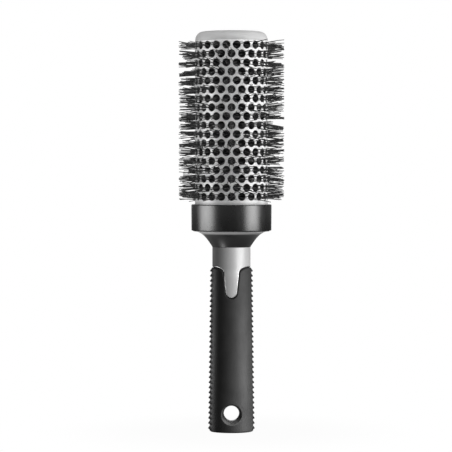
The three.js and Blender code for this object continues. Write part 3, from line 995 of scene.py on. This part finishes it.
# %% The tree that twists a wire
def wire_sizes(number):
    low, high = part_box(f"stem_wire_{number}")
    return {
        "Bottom": low.z,
        "Top": high.z,
        "Offset": 1.4 * MM,
        "Wire Radius": 1.1 * MM,
        "Twist Length": 28.0 * MM,
        "Start": TURN / 2 * (number - 1),
    }


def build_twisted_wire():
    g, given = geometry_tree("twisted_wire", wire_sizes(1))
    curve, along = straight_curve(g, 120)
    rise = (given["Top"] - given["Bottom"]) * along
    angle = given["Start"] + rise * TURN / given["Twist Length"]
    helix = move(g, curve, g.polar(angle, given["Offset"], given["Bottom"] + rise))
    return end_tree(g, sweep(g, helix, 14, given["Wire Radius"]), given["Material"])


TWISTED_WIRE = build_twisted_wire()


# %% Twist the two wires, and finish the plug at their foot
def make_stem():
    for number in (1, 2):
        name = f"twisted_wire_{number}"
        piece = link(name, bpy.data.meshes.new(name))
        grow(piece, TWISTED_WIRE, wire_sizes(number), DRAWN_STEEL)
        dress(settle(piece, DRAWN_STEEL), f"stem_wire_{number}")


make_stem()
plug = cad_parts["base_plug"]
plug.data.materials.clear()
plug.data.materials.append(INNER_PLASTIC)
print("base_plug keeps its CAD shape with the finish", INNER_PLASTIC.name)


# %% [markdown]
# ## The handle's two skins
#
# Rubber is moulded over a silver core, and the line where they meet is the handle's main feature:
# two rounded lobes with a tongue between them, front and back. Each skin is planned flat, as the
# way round against the height, where that line is easy to draw. A triangulation fills the plan,
# the plan is wrapped round the handle, and rings of faces roll its borders over, as on a moulding.


# %% The handle's sizes
_, grip_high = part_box("grip")
_, core_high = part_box("handle_core")
wire_low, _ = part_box("stem_wire_1")
GRIP_TOP = grip_high.z + 0.3 * MM  # the solids leave a clearance here that doesn't show
GRIP_END_HALF = np.array((12.95, 11.4)) * MM
GRIP_TOP_HALF = np.array((11.75, 11.8)) * MM
NECK_TOP = 109.0 * MM
SPIGOT_RADIUS = 7.0 * MM
LOBE_CROWN = 10.3 * MM  # from the middle to the top of a lobe
LOBE_DROP = 3.6 * MM
TONGUE_LENGTH = 18.1 * MM
TONGUE_TOP_HALF = 4.75 * MM
TONGUE_END_HALF = 3.55 * MM
HANG_HEIGHT = 10.8 * MM
HANG_THROAT = 4.55 * MM
HANG_MOUTH = 5.8 * MM
HANG_ROUNDING = 0.6 * MM
HANG_LAND = 2.5 * MM  # half the length of the narrow middle
print(f"the grip is {GRIP_TOP / MM:.1f} mm tall, and the neck ends at {NECK_TOP / MM:.1f} mm")


# %% From the flat plan to the round handle
PLAN_RADIUS = 12.0 * MM  # the plan is as wide as a handle this round
AROUND = TURN * PLAN_RADIUS


def smooth_step(value, low, high):
    """From 0 to 1 while the value goes from low to high, level at both ends."""
    t = np.clip((value - low) / (high - low), 0, 1)
    return t * t * (3 - 2 * t)


def grip_half(height):
    """Half the grip's width and depth at each height."""
    rise = np.clip(height / GRIP_TOP, 0, 1)[:, None]
    return GRIP_END_HALF * (1 - rise) + GRIP_TOP_HALF * rise


def core_half(height):
    """The same for the core, which is level with the rubber below and round at the neck."""
    level = smooth_step(height, GRIP_TOP - 6 * MM, GRIP_TOP - 1 * MM)[:, None]
    return grip_half(height) * (1 - level) + NECK_RADIUS * level


def wrap(plan, half_sizes, inset=0.0):
    """Points of the plan on a surface, or that far under it."""
    half = half_sizes(plan[:, 1]) - np.reshape(inset, (-1, 1))
    angle = plan[:, 0] / PLAN_RADIUS
    return np.column_stack((half[:, 0] * np.cos(angle), half[:, 1] * np.sin(angle), plan[:, 1]))


print(f"once round the plan is {AROUND / MM:.1f} mm")


# %% The line where rubber and silver meet
SEAM_SPACING = 0.36 * MM
HOLE_POINTS = 48


def seam_line():
    """Once round the handle in the plan. A quarter is drawn, and the rest mirrors it."""
    swing = np.linspace(0, TURN / 4, 24)
    end_middle = GRIP_TOP - TONGUE_LENGTH + TONGUE_END_HALF
    across = np.concatenate(
        (
            LOBE_CROWN - (LOBE_CROWN - TONGUE_TOP_HALF) * np.sin(swing),
            TONGUE_END_HALF * np.cos(swing),
        )
    )
    height = np.concatenate(
        (GRIP_TOP - LOBE_DROP * (1 - np.cos(swing)), end_middle - TONGUE_END_HALF * np.sin(swing))
    )
    angle = np.arccos(across / grip_half(height)[:, 0])
    drawn = np.column_stack((angle * PLAN_RADIUS, height))
    drawn = np.vstack(([(0.0, GRIP_TOP)], drawn))
    steps = np.linalg.norm(np.diff(drawn, axis=0), axis=1)
    length = np.concatenate(([0], np.cumsum(steps)))
    at = np.linspace(0, length[-1], round(length[-1] / SEAM_SPACING) + 1)
    quarter = np.column_stack([np.interp(at, length, drawn[:, i]) for i in range(2)])
    for _ in range(5):  # softens the corners
        quarter[1:-1] = (quarter[:-2] + 2 * quarter[1:-1] + quarter[2:]) / 4
    half = np.vstack((quarter, (quarter[-2:0:-1] - (AROUND / 2, 0)) * (-1, 1)))
    return np.vstack((half, half + (AROUND / 2, 0)))


def into_rubber(line, distance):
    """The line moved down into the rubber, or up into the silver if negative."""
    open_line = np.vstack((line[-1:] - (AROUND, 0), line, line[:1] + (AROUND, 0)))
    direction = open_line[2:] - open_line[:-2]
    direction /= np.linalg.norm(direction, axis=1)[:, None]
    down = np.column_stack((direction[:, 1], -direction[:, 0]))
    return line + down * np.reshape(distance, (-1, 1))


def level_line(height, count):
    """A straight line round the handle."""
    return np.column_stack((np.arange(count) * AROUND / count, np.full(count, height)))


def hole_line(radius, back):
    """The hanging hole's edge in the plan, seen from the front."""
    turn = np.arange(HOLE_POINTS) * TURN / HOLE_POINTS
    height = HANG_HEIGHT + radius * np.cos(turn)
    angle = np.arccos(radius * np.sin(turn) / grip_half(height)[:, 0])
    angle = angle if back else TURN - angle
    return np.column_stack((angle * PLAN_RADIUS, height))


SEAM = seam_line()
print(f"the seam has {len(SEAM)} points and dips to {SEAM[:, 1].min() / MM:.1f} mm")


# %% Fill a plan with triangles
def inside_outline(points, outline):
    """Which points are inside a closed outline, by the even-odd rule."""
    x, y = points[:, :1], points[:, 1:]
    here, there = outline, np.roll(outline, -1, axis=0)
    crosses = (here[:, 1] > y) != (there[:, 1] > y)
    rise = there[:, 1] - here[:, 1]
    at = here[:, 0] + (y - here[:, 1]) * (there[:, 0] - here[:, 0]) / np.where(rise == 0, 1, rise)
    return (crosses & (x < at)).sum(axis=1) % 2 == 1


def in_band(points, outline, holes):
    """Which points are inside the outline and outside every hole."""
    kept = inside_outline(points, outline)
    for hole in holes:
        kept &= ~inside_outline(points, hole)
    return kept


def fill_plan(low_line, high_line, holes, grid, room):
    """Triangulates the band between two lines, around holes.

    Returns its points, its triangles, and the numbers of the points on the low line, the high
    line and each hole, so that rings of faces can join on to them.
    """
    row_heights = np.unique(grid[:, 1])
    inner = (row_heights > low_line[0, 1] + room) & (row_heights < high_line[0, 1] - room)
    ends = row_heights[inner]
    left = np.column_stack((np.zeros(len(ends)), ends))
    right = left + (AROUND, 0)
    corners = np.array([(AROUND, low_line[0, 1]), (AROUND, high_line[0, 1])])
    outline = np.vstack((low_line, corners[:1], right, corners[1:], high_line[::-1], left[::-1]))
    grid = grid[in_band(grid, outline, holes)]
    gap = np.full(len(grid), np.inf)
    for point in np.vstack((outline, *holes)):
        gap = np.minimum(gap, np.abs(grid - point).sum(axis=1))
    points = np.vstack((low_line, high_line, corners, left, right, *holes, grid[gap > room]))

    # The outline as constraint edges, by the points' places in that list.
    low_count = len(low_line)
    corner = low_count + len(high_line)
    left_ids = corner + 2 + np.arange(len(ends))
    right_ids = left_ids + len(ends)
    round_trip = [*range(low_count), corner, *right_ids, corner + 1]
    round_trip += [*range(corner - 1, low_count - 1, -1), *left_ids[::-1]]
    first = corner + 2 + 2 * len(ends)
    hole_loops = []
    for hole in holes:
        hole_loops.append(list(range(first, first + len(hole))))
        first += len(hole)
    loops = [round_trip, *hole_loops]
    edges = [(int(a), int(b)) for loop in loops for a, b in zip(loop, loop[1:] + loop[:1])]
    flat = [Vector(p) for p in (points / MM).tolist()]
    found, _, triangles, _, _, _ = delaunay_2d_cdt(flat, edges, [], 0, 1e-7, True)
    points = np.array([tuple(p) for p in found]) * MM
    triangles = np.array(triangles)
    kept = in_band(points[triangles].mean(axis=1), outline, holes)
    joints = [range(low_count), range(low_count, corner), *hole_loops]
    return points, triangles[kept], [np.array(joint) for joint in joints]


def rows_and_columns(rows, columns):
    """The points where rows and columns cross."""
    across, up = np.meshgrid(columns, rows)
    return np.column_stack((across.ravel(), up.ravel()))


square = np.array([(0, 0), (2, 0), (2, 2), (0, 2)])
dots = rows_and_columns((0.5, 1.5, 2.5), (0.5, 1.5, 2.5))
print(inside_outline(dots, square).sum(), "of", len(dots), "dots lie in the square")


# %% A closed skin from patches and rings
class Skin:
    """Patches and rings of faces that close up to one solid. Its points can be marked for later."""

    def __init__(self):
        self.points = []
        self.faces = []
        self.marked = []
        self.count = 0

    def add(self, points, marked=0.0):
        """Adds points, and returns their numbers."""
        self.points.append(points)
        self.marked.append(np.full(len(points), marked))
        self.count += len(points)
        return np.arange(self.count - len(points), self.count)

    def patch(self, plan, half_sizes, inset=0.0, marked=0.0):
        """Adds a filled plan wrapped round the handle, and returns its lines and holes."""
        points, triangles, joints = plan
        first = self.add(wrap(points, half_sizes, inset), marked)[0]
        self.faces.extend((triangles + first).tolist())
        return [joint + first for joint in joints]

    def band(self, ring, rings, marked=0.0):
        """Faces from a ring of the skin through new rings of as many points."""
        for points in rings:
            following = self.add(points, marked) if points.dtype.kind == "f" else points
            for a, b, c, d in zip(
                ring, np.roll(ring, -1), np.roll(following, -1), following, strict=True
            ):
                self.faces.append((a, b, c, d))
            ring = following
        return ring

    def close(self, ring, centre):
        """Closes a ring with a fan of triangles."""
        middle = self.add(np.array([centre]))[0]
        self.faces.extend((a, b, middle) for a, b in zip(ring, np.roll(ring, -1)))

    def build(self, name, material):
        """Welds the skin to a mesh whose faces all point outwards."""
        mesh = bpy.data.meshes.new(name)
        mesh.from_pydata(np.vstack(self.points).tolist(), [], [tuple(f) for f in self.faces])
        marked = mesh.attributes.new("marked", "FLOAT", "POINT")
        marked.data.foreach_set("value", np.concatenate(self.marked).astype(np.float32))
        bm = bmesh.new()
        bm.from_mesh(mesh)
        bmesh.ops.remove_doubles(bm, verts=bm.verts, dist=0.001 * MM)
        bmesh.ops.delete(bm, geom=[v for v in bm.verts if not v.link_faces], context="VERTS")
        bmesh.ops.recalc_face_normals(bm, faces=bm.faces)
        opened = sum(not e.is_manifold for e in bm.edges)
        bm.to_mesh(mesh)
        volume = bm.calc_volume(signed=True)
        bm.free()
        mesh.materials.append(material)
        mesh.shade_smooth()
        mesh.set_sharp_from_angle(angle=math.radians(40))
        print(f"{name}: {opened} open edges, {volume * 1e6:.2f} cm3")
        return link(name, mesh)


# %% Rounded borders
def quarter_round(steps):
    """How far out and how far in each ring of a rounded edge lies, as shares of its radius."""
    turns = [TURN / 4 * k / steps for k in range(1, steps + 1)]
    return [(1 - math.sin(turn), 1 - math.cos(turn)) for turn in turns]


def rolled(line, half_sizes, start, size, depth, side):
    """Rings that roll a border over: tangent to the surface at first, then straight in.

    The border ends at the distance start from the line. side is 1 in rubber and -1 in silver.
    """
    rings = []
    for out, deep in quarter_round(6):
        plan = into_rubber(line, side * (start + size * out))
        rings.append(wrap(plan, half_sizes, depth * deep))
    return rings


print("a rounded edge:", ", ".join(f"{out:.2f} out {deep:.2f} in" for out, deep in quarter_round(3)))


# %% [markdown]
# ## The grip
#
# The rubber is softly rounded where it meets the silver, more so over the sides. Each side has a
# column of ribs that keeps a wet hand from slipping: barbs with a long upper slope and a steep
# lower face, fading out towards the smooth front and back. The ribs repeat, so a small Geometry
# Nodes tree raises them, and stores how high each point was raised, for the rubber's finish.


# %% The plans of the rubber
RIB_PITCH = 3.0 * MM
FIRST_RIB = 2.1 * MM
RIB_COUNT = 32
ROWS_A_RIB = 12
COLUMNS = 76
FINE_TO = 0.52  # of the way from a side to the front or back, where the fine rows end
EDGE_GAP = 0.14 * MM  # between rubber and silver where they show
BOND_GAP = 0.02 * MM  # and inside, where they are bonded
END_ROUNDING = 1.0 * MM
END_POINTS = 150
INNER_DEPTH = 2.0 * MM
INNER_POINTS = 96
CORE_DEPTH = 2.3 * MM
SLEEVE_WALL = 0.7 * MM  # rubber round the hanging hole, inside the core
CORE_TUNNEL = 0.9 * MM  # the room for it in the core


def fine_grid():
    """Rows and columns that are fine on the ribbed sides, with every third row elsewhere."""
    row_step = RIB_PITCH / ROWS_A_RIB
    rows = np.arange(FIRST_RIB - 4 * row_step, GRIP_TOP, row_step)
    grid = rows_and_columns(rows, np.arange(COLUMNS) * AROUND / COLUMNS)
    from_side = np.abs((grid[:, 0] / AROUND * 4 + 1) % 2 - 1)  # 0 on a side, 1 on front and back
    third = np.round((grid[:, 1] - rows[0]) / row_step).astype(int) % 3 == 0
    return grid[((from_side < FINE_TO) | third) & (grid[:, 0] > 0)]


def rubber_plans():
    """The ribbed outer plan, and a coarser one for the hidden inner faces."""
    low = level_line(END_ROUNDING, END_POINTS)
    side_lobe = smooth_step(SEAM[:, 1], GRIP_TOP - 3 * MM, GRIP_TOP - 0.2 * MM)
    roll = (0.4 + 0.7 * side_lobe) * MM
    depth = (0.45 + 0.2 * side_lobe) * MM
    top = into_rubber(SEAM, EDGE_GAP + roll)
    mouths = [hole_line(HANG_MOUTH + HANG_ROUNDING, back) for back in (True, False)]
    outer = fill_plan(low, top, mouths, fine_grid(), 0.16 * MM)

    coarse_low = level_line(2.5 * MM, INNER_POINTS)
    coarse_top = into_rubber(SEAM, 1.2 * MM)
    grid = rows_and_columns(np.arange(4, 97, 2.2) * MM, np.arange(1, 48) * AROUND / 48)
    tunnels = [hole_line(HANG_MOUTH + CORE_TUNNEL, back) for back in (True, False)]
    inner = fill_plan(coarse_low, coarse_top, tunnels, grid, 0.5 * MM)
    return outer, inner, roll, depth


OUTER_PLAN, INNER_PLAN, ROLL, ROLL_DEPTH = rubber_plans()
print(f"the rubber's plans have {len(OUTER_PLAN[1])} and {len(INNER_PLAN[1])} triangles")


# %% Build the grip's smooth skin
def hole_ring(radius, depth, back):
    """A ring inside the hanging hole, as deep under the surface as given."""
    ring = wrap(hole_line(radius, back), grip_half)
    ring[:, 1] -= depth if back else -depth
    return ring


def hole_tunnel():
    """Rings from the front mouth through the throat to the back one."""
    rings = [
        hole_ring(HANG_MOUTH + HANG_ROUNDING * out, HANG_ROUNDING * deep, False)
        for out, deep in quarter_round(5)
    ]
    mouth = rings[-1]
    throat = hole_ring(HANG_THROAT, 0.0, False)
    for share in (0.5, 0.9, 0.97, 1.0):
        ring = mouth * (1 - share) + throat * share
        ring[:, 1] = mouth[:, 1] * (1 - share) - HANG_LAND * share
        rings.append(ring)
    return rings + [ring * (1, -1, 1) for ring in rings[::-1]]


def make_grip_skin():
    skin = Skin()
    low, top, back_mouth, front_mouth = skin.patch(OUTER_PLAN, grip_half, marked=1.0)
    inner_low, inner_top, back, front = skin.patch(INNER_PLAN, grip_half, INNER_DEPTH)

    # Over the soft top edge, down beside the silver and along under it.
    rings = rolled(SEAM, grip_half, EDGE_GAP, ROLL, ROLL_DEPTH, 1)
    edge = skin.band(top, rings[:4], marked=1.0)
    edge = skin.band(edge, rings[4:])
    foot = wrap(into_rubber(SEAM, BOND_GAP), grip_half, INNER_DEPTH)
    skin.band(edge, [foot, inner_top])

    # Round the bottom corner to the flat end, and the inner floor.
    corner = [
        wrap(level_line(END_ROUNDING * out, END_POINTS), grip_half, END_ROUNDING * deep)
        for out, deep in quarter_round(7)
    ]
    skin.close(skin.band(low, corner), (0.0, 0.0, 0.0))
    floor_height = 2.2 * MM
    floor = wrap(level_line(floor_height, INNER_POINTS), grip_half, INNER_DEPTH)
    skin.close(skin.band(inner_low, [floor]), (0.0, 0.0, floor_height))

    # The hanging hole: its lips and throat outside, and the sleeve round it inside.
    skin.band(front_mouth, [*hole_tunnel(), back_mouth])
    radius = HANG_MOUTH + SLEEVE_WALL
    sleeve = [hole_ring(radius, INNER_DEPTH, at_back) for at_back in (False, True)]
    skin.band(front, [*sleeve, back])
    return skin.build("rubber_grip", SOFT_RUBBER)


grip_skin = make_grip_skin()


# %% The tree that raises the ribs
RIB_SIZES = {
    "Ribs": RIB_COUNT,
    "Pitch": RIB_PITCH,
    "First": FIRST_RIB,
    "Height": 0.85 * MM,
    "Droop": 0.3 * MM,
    "Full To": math.radians(10),
    "Fades By": math.radians(26),
    "Hole Height": HANG_HEIGHT,
    "Hole Reach": HANG_MOUTH,
}


def build_grip_ribs():
    g, given = geometry_tree("grip_ribs", RIB_SIZES)
    x, y, z = position(g)
    marked = g.wire(g.node("GeometryNodeInputNamedAttribute", {"Name": "marked"}), "Attribute")

    # A barb at each pitch: a long slope above its crest, and a steep face below.
    number = (z - given["First"]) / given["Pitch"]
    over_crest = number - g.math("ROUND", number)
    crest = g.ramp(g.math("MINIMUM", 1 - over_crest / 0.45, 1 + over_crest / 0.25), 0.0, 0.9)

    # Only on the ribbed sides of the outer face, from the first rib to the last.
    from_side = g.math("ARCTAN2", g.math("ABSOLUTE", y), g.math("ABSOLUTE", x))
    fade = 1 - g.ramp(from_side, given["Full To"], given["Fades By"])
    above = g.math("GREATER_THAN", number, -0.5)
    below = g.math("LESS_THAN", number, given["Ribs"] - 0.5)
    raised = crest * fade * above * below * marked
    out = g.math("ARCTAN2", y, x)
    lift = g.polar(out, raised * given["Height"], 0 - raised * given["Droop"])
    inputs = {"Geometry": given["Geometry"], "Offset": lift}
    ribbed = g.node("GeometryNodeSetPosition", inputs)

    # The lower side of the hanging hole is marked to be glossier and painted lighter, a painted
    # highlight.
    under_hole = (given["Hole Height"] - z) / given["Hole Reach"]
    worn = g.ramp(under_hole, 0.3, 0.8) * g.math("LESS_THAN", under_hole, 1.2) * (1 - marked)
    ribbed = store(g, ribbed, "rib", raised, "POINT")
    ribbed = store(g, ribbed, "worn", worn, "POINT")
    return end_tree(g, ribbed, given["Material"])


GRIP_RIBS = build_grip_ribs()


# %% Raise the ribs
ribbed_grip = grow(grip_skin, GRIP_RIBS, RIB_SIZES, SOFT_RUBBER)
dress(settle(ribbed_grip, SOFT_RUBBER), "grip")


# %% [markdown]
# ## The silver core
#
# The core is one moulding: the neck, the two tongues let into the rubber, and a body inside the
# grip that the rubber clings to. Its edge along the rubber is rolled too, and rubs bright in use.
# That edge is a strip of its own here, so it can have the brighter finish and its own lamps: it
# draws the thin light line beside the dark seam.


# %% Build the core
BEAD = 0.6 * MM
NECK_ROUNDING = 0.2 * MM
NECK_POINTS = 144
BORE_END = wire_low.z - 0.5 * MM


def core_plan():
    low = into_rubber(SEAM, -EDGE_GAP - BEAD)
    high = level_line(NECK_TOP - NECK_ROUNDING, NECK_POINTS)
    rows = np.arange(80.5, 108.2, 1.1) * MM
    grid = rows_and_columns(rows, np.arange(1, NECK_POINTS) * AROUND / NECK_POINTS)
    return fill_plan(low, high, [], grid, 0.2 * MM)


def neck_top():
    """Rings over the neck's top edge, up the spigot and down its bore to the wires' foot."""
    rings = []
    for out, deep in quarter_round(5):
        line = level_line(NECK_TOP - NECK_ROUNDING * out, NECK_POINTS)
        rings.append(wrap(line, core_half, NECK_ROUNDING * deep))
    spigot = [(SPIGOT_RADIUS, NECK_TOP), (SPIGOT_RADIUS, core_high.z)]
    bore = [(STEM_BORE, core_high.z), (STEM_BORE, BORE_END)]
    angle = level_line(0.0, NECK_POINTS)[:, 0] / PLAN_RADIUS
    for radius, height in spigot + bore:
        column = np.full(NECK_POINTS, height)
        rings.append(np.column_stack((radius * np.cos(angle), radius * np.sin(angle), column)))
    return rings


def make_core():
    skin = Skin()
    foot, neck = skin.patch(core_plan(), core_half)
    low, top, back, front = skin.patch(INNER_PLAN, grip_half, CORE_DEPTH)
    under = wrap(into_rubber(SEAM, -EDGE_GAP - BEAD), core_half, BEAD)
    wall = wrap(into_rubber(SEAM, -BOND_GAP), core_half, CORE_DEPTH)
    skin.band(foot, [under, wall, top])
    skin.close(low, (0.0, 0.0, 2.5 * MM))
    skin.band(front, [back])
    bore = skin.band(neck, neck_top())
    skin.close(bore, (0.0, 0.0, BORE_END))
    return skin.build("silver_core", SILVER_PAINT)


dress(make_core(), "handle_core")


# %% Build its bright edge
def make_edge():
    """The rolled edge beside the rubber, a closed strip that carries on from the satin face."""
    skin = Skin()
    border = into_rubber(SEAM, -EDGE_GAP - BEAD)
    first = skin.add(wrap(border, core_half))
    under = wrap(border, core_half, BEAD * 0.9)
    skin.band(first, [*rolled(SEAM, core_half, EDGE_GAP, BEAD, BEAD, -1), under, first])
    return skin.build("silver_edge", POLISHED_SILVER)


dress(make_edge(), "handle_core")


# %% [markdown]
# ## The studio
#
# The brush stands on a white floor before a white backdrop. Black gloss shows every lamp as a
# stripe, so the two large soft boxes stand where the stripes on the collar say: one far round to
# the left and raised, one to the right and taller than the brush. The small ones each bring out
# one edge or one piece. A studio shades the rest with black cards; here each lamp has a list of
# the pieces that it lights. The room behind the camera is dim.


# %% A soft box
def soft_box(name, bearing, spread, low, high, distance, radiance, only):
    """A lamp that covers a range of directions, turning from the front towards the right.

    Like cloth lit from behind, it is brightest in the middle. It lights only the listed pieces,
    as if black cards shaded the others.
    """
    middle = math.radians(bearing)
    width = 2 * distance * math.tan(math.radians(spread) / 2)
    lamp = bpy.data.lights.new(name, "AREA")
    lamp.shape = "RECTANGLE"
    lamp.size = width
    lamp.size_y = high - low
    lamp.energy = radiance * math.pi * width * (high - low)
    lamp.use_nodes = True
    g = Graph(lamp.node_tree)
    across, _, _ = g.parts(g.wire(g.node("ShaderNodeNewGeometry"), "Parametric"))
    cloth = g.math("POWER", g.math("SINE", across * math.pi), 0.8)
    g.plug(lamp.node_tree.nodes["Emission"].inputs["Strength"], cloth)
    holder = bpy.data.objects.new(name, lamp)
    height = (low + high) / 2
    holder.location = (distance * math.sin(middle), -distance * math.cos(middle), height)
    facing = Vector((-math.sin(middle), math.cos(middle), 0.0))
    holder.rotation_euler = facing.to_track_quat("-Z", "Y").to_euler()
    holder.visible_camera = False
    bpy.context.scene.collection.objects.link(holder)
    lit = bpy.data.collections.new(f"{name} lights")
    for piece in only:
        lit.objects.link(bpy.data.objects[piece])
    holder.light_linking.receiver_collection = lit
    return holder


def floor_card(name, place, side, radiance, only):
    """A white card on the floor, which lights a few pieces from below."""
    card = soft_box(name, 0, 90, 0.0, side, side / 2, radiance, only)
    card.location = (*place, 2 * MM)
    card.rotation_euler = (math.pi, 0.0, 0.0)


# %% Light the brush
TUFTS = ["tufts_1", "tufts_2", "tufts_3"]
PALE = ["perforated_barrel", "barrel_cap", *TUFTS]
RIGHT = [*PALE, "collar_ring", "rubber_grip"]
# Each lamp's bearing and spread in degrees, its foot, top and distance, radiance and pieces.
LAMPS = [
    ("left_soft_box", -76, 54, 0.098, 0.32, 0.6, 6.2, PALE),
    ("left_strip_for_collar", -76, 58, 0.0, 0.34, 0.6, 4.6, ["collar_ring"]),
    ("left_rim_light", -124, 30, 0.0, 0.055, 0.4, 16.0, ["rubber_grip"]),
    ("left_low_box_for_edge", -95, 50, 0.02, 0.08, 0.2, 3.0, ["silver_edge"]),
    ("right_box_for_edge", 75, 60, 0.0, 0.3, 0.6, 3.2, ["silver_edge"]),
    ("left_box_for_cap", -98, 50, 0.1, 0.4, 0.6, 2.6, ["barrel_cap"]),
    ("right_soft_box", 62, 50, -0.05, 0.5, 0.6, 4.9, RIGHT),
    ("left_back_box_for_neck", -128, 40, -0.05, 0.5, 0.6, 0.4, ["silver_core"]),
    ("right_strip_for_neck", 54, 54, -0.05, 0.5, 0.6, 7.5, ["silver_core"]),
    ("right_back_soft_box", 112, 40, 0.1, 0.4, 0.6, 3.6, PALE),
    ("right_low_soft_box", 60, 50, 0.0, 0.04, 0.12, 11.0, ["rubber_grip"]),
    ("front_soft_box_for_nylon", 0, 40, 0.0, 0.4, 1.0, 6.5, TUFTS),
    ("top_soft_box", 25, 60, 0.5, 1.0, 0.5, 5.4, PALE),
]
boxes = [soft_box(*lamp) for lamp in LAMPS]
top_box = boxes[-1]
towards_barrel = Vector((0, 0, 0.15)) - top_box.location
top_box.rotation_euler = towards_barrel.to_track_quat("-Z", "Y").to_euler()
floor_card("card_under_shoulder", (0.0, 0.0), 0.6, 0.4, ["flared_shoulder"])
floor_card("card_for_shoulder_glint", (-0.093, -0.058), 0.04, 32.0, ["flared_shoulder"])
print(f"{len(boxes)} soft boxes and two cards")


# %% The room
ROOM_LIGHT = 0.16


def light_path(graph):
    """1 for each kind of ray that should meet a white background, such as the camera's."""
    path = graph.node("ShaderNodeLightPath")
    return [graph.wire(path, f"Is {kind} Ray") for kind in ("Camera", "Glossy", "Transmission")]


def make_room():
    """White for the camera, white behind the brush for reflections, and dim all else."""
    world = bpy.data.worlds.new("room")
    world.use_nodes = True
    bpy.context.scene.world = world
    g = Graph(world.node_tree)
    camera, glossy, through = light_path(g)
    _, away, _ = g.parts(g.wire(g.node("ShaderNodeTexCoord"), "Generated"))
    behind = g.ramp(away, 0.93, 1.0)
    white = g.math("MAXIMUM", camera, g.math("MAXIMUM", glossy, through) * behind)
    shade = world.node_tree.nodes["Background"]
    shade.inputs["Color"].default_value = WHITE
    g.plug(shade.inputs["Strength"], white + (1 - white) * ROOM_LIGHT)
    print(f"{world.name}: {ROOM_LIGHT} of white, where it isn't the backdrop")


make_room()


# %% The floor
def make_floor():
    """White to the eye, but it throws little light back up at the brush."""
    mesh = bpy.data.meshes.new("floor")
    half = 3.0
    corners = [(-half, -half, 0), (half, -half, 0), (half, half, 0), (-half, half, 0)]
    mesh.from_pydata(corners, [], [(0, 1, 2, 3)])
    floor = link("floor", mesh)
    finish = Finish("white_floor", grey(0.93), 0.9)
    place = object_coordinates(finish)
    side, back, _ = finish.parts(place)

    # The camera sees white, and so do reflections of the floor in a wedge behind the brush.
    camera, glossy, through = light_path(finish)
    aside = finish.math("ABSOLUTE", side) - back * 0.25
    behind = finish.ramp(back, 0.02, 0.05) * (1 - finish.ramp(aside, -0.01, 0.02))
    seen = finish.math("MAXIMUM", camera, finish.math("MAXIMUM", glossy, through) * behind)
    finish.mix_color(seen, grey(0.45), grey(0.95))
    finish.roughen(noise(finish, place, 3.0), 0.85, 0.95)

    # Near the brush a little of the lit floor shows through the white, with its shadow.
    far = finish.wire(finish.node("ShaderNodeVectorMath", {0: place}, operation="LENGTH"), "Value")
    share = seen * finish.ramp(far, 0.03, 0.12, 0.97, 1.0)
    glow = finish.node("ShaderNodeEmission", {"Color": WHITE, "Strength": 1.0})
    mixed = finish.node("ShaderNodeMixShader", {0: share, 1: finish.shader, 2: glow})
    finish.plug(finish.tree.nodes["Material Output"].inputs["Surface"], mixed)
    mesh.materials.append(finish.material)
    print(f"{floor.name}: {2 * half} m wide")


make_floor()


# %% [markdown]
# ## The camera
#
# A long lens far away keeps the rows of holes level, as in the photograph. It looks down by a
# degree and a half, which is what the collar's and the base's curves say.


# %% Place the camera
LENS = 187.4  # mm, on a sensor 36 mm wide
CAMERA_PLACE = Vector((-0.0032, -1.388, 0.1571))
AIM = Vector((-0.0032, 0.0, 0.1214))


def make_camera():
    data = bpy.data.cameras.new("camera")
    data.lens = LENS
    data.sensor_width = 36.0
    data.clip_start = 0.05
    camera = bpy.data.objects.new("camera", data)
    camera.location = CAMERA_PLACE
    camera.rotation_euler = (AIM - CAMERA_PLACE).to_track_quat("-Z", "Y").to_euler()
    bpy.context.scene.collection.objects.link(camera)
    bpy.context.scene.camera = camera


make_camera()
bpy.context.scene.view_settings.view_transform = "Standard"
print(f"camera: {LENS} mm, {(AIM - CAMERA_PLACE).length:.2f} m away")


# %% Print the CAD box, and finish
print("CAD   ", [round(v / MM, 2) for v in (*cad_low, *cad_high)])
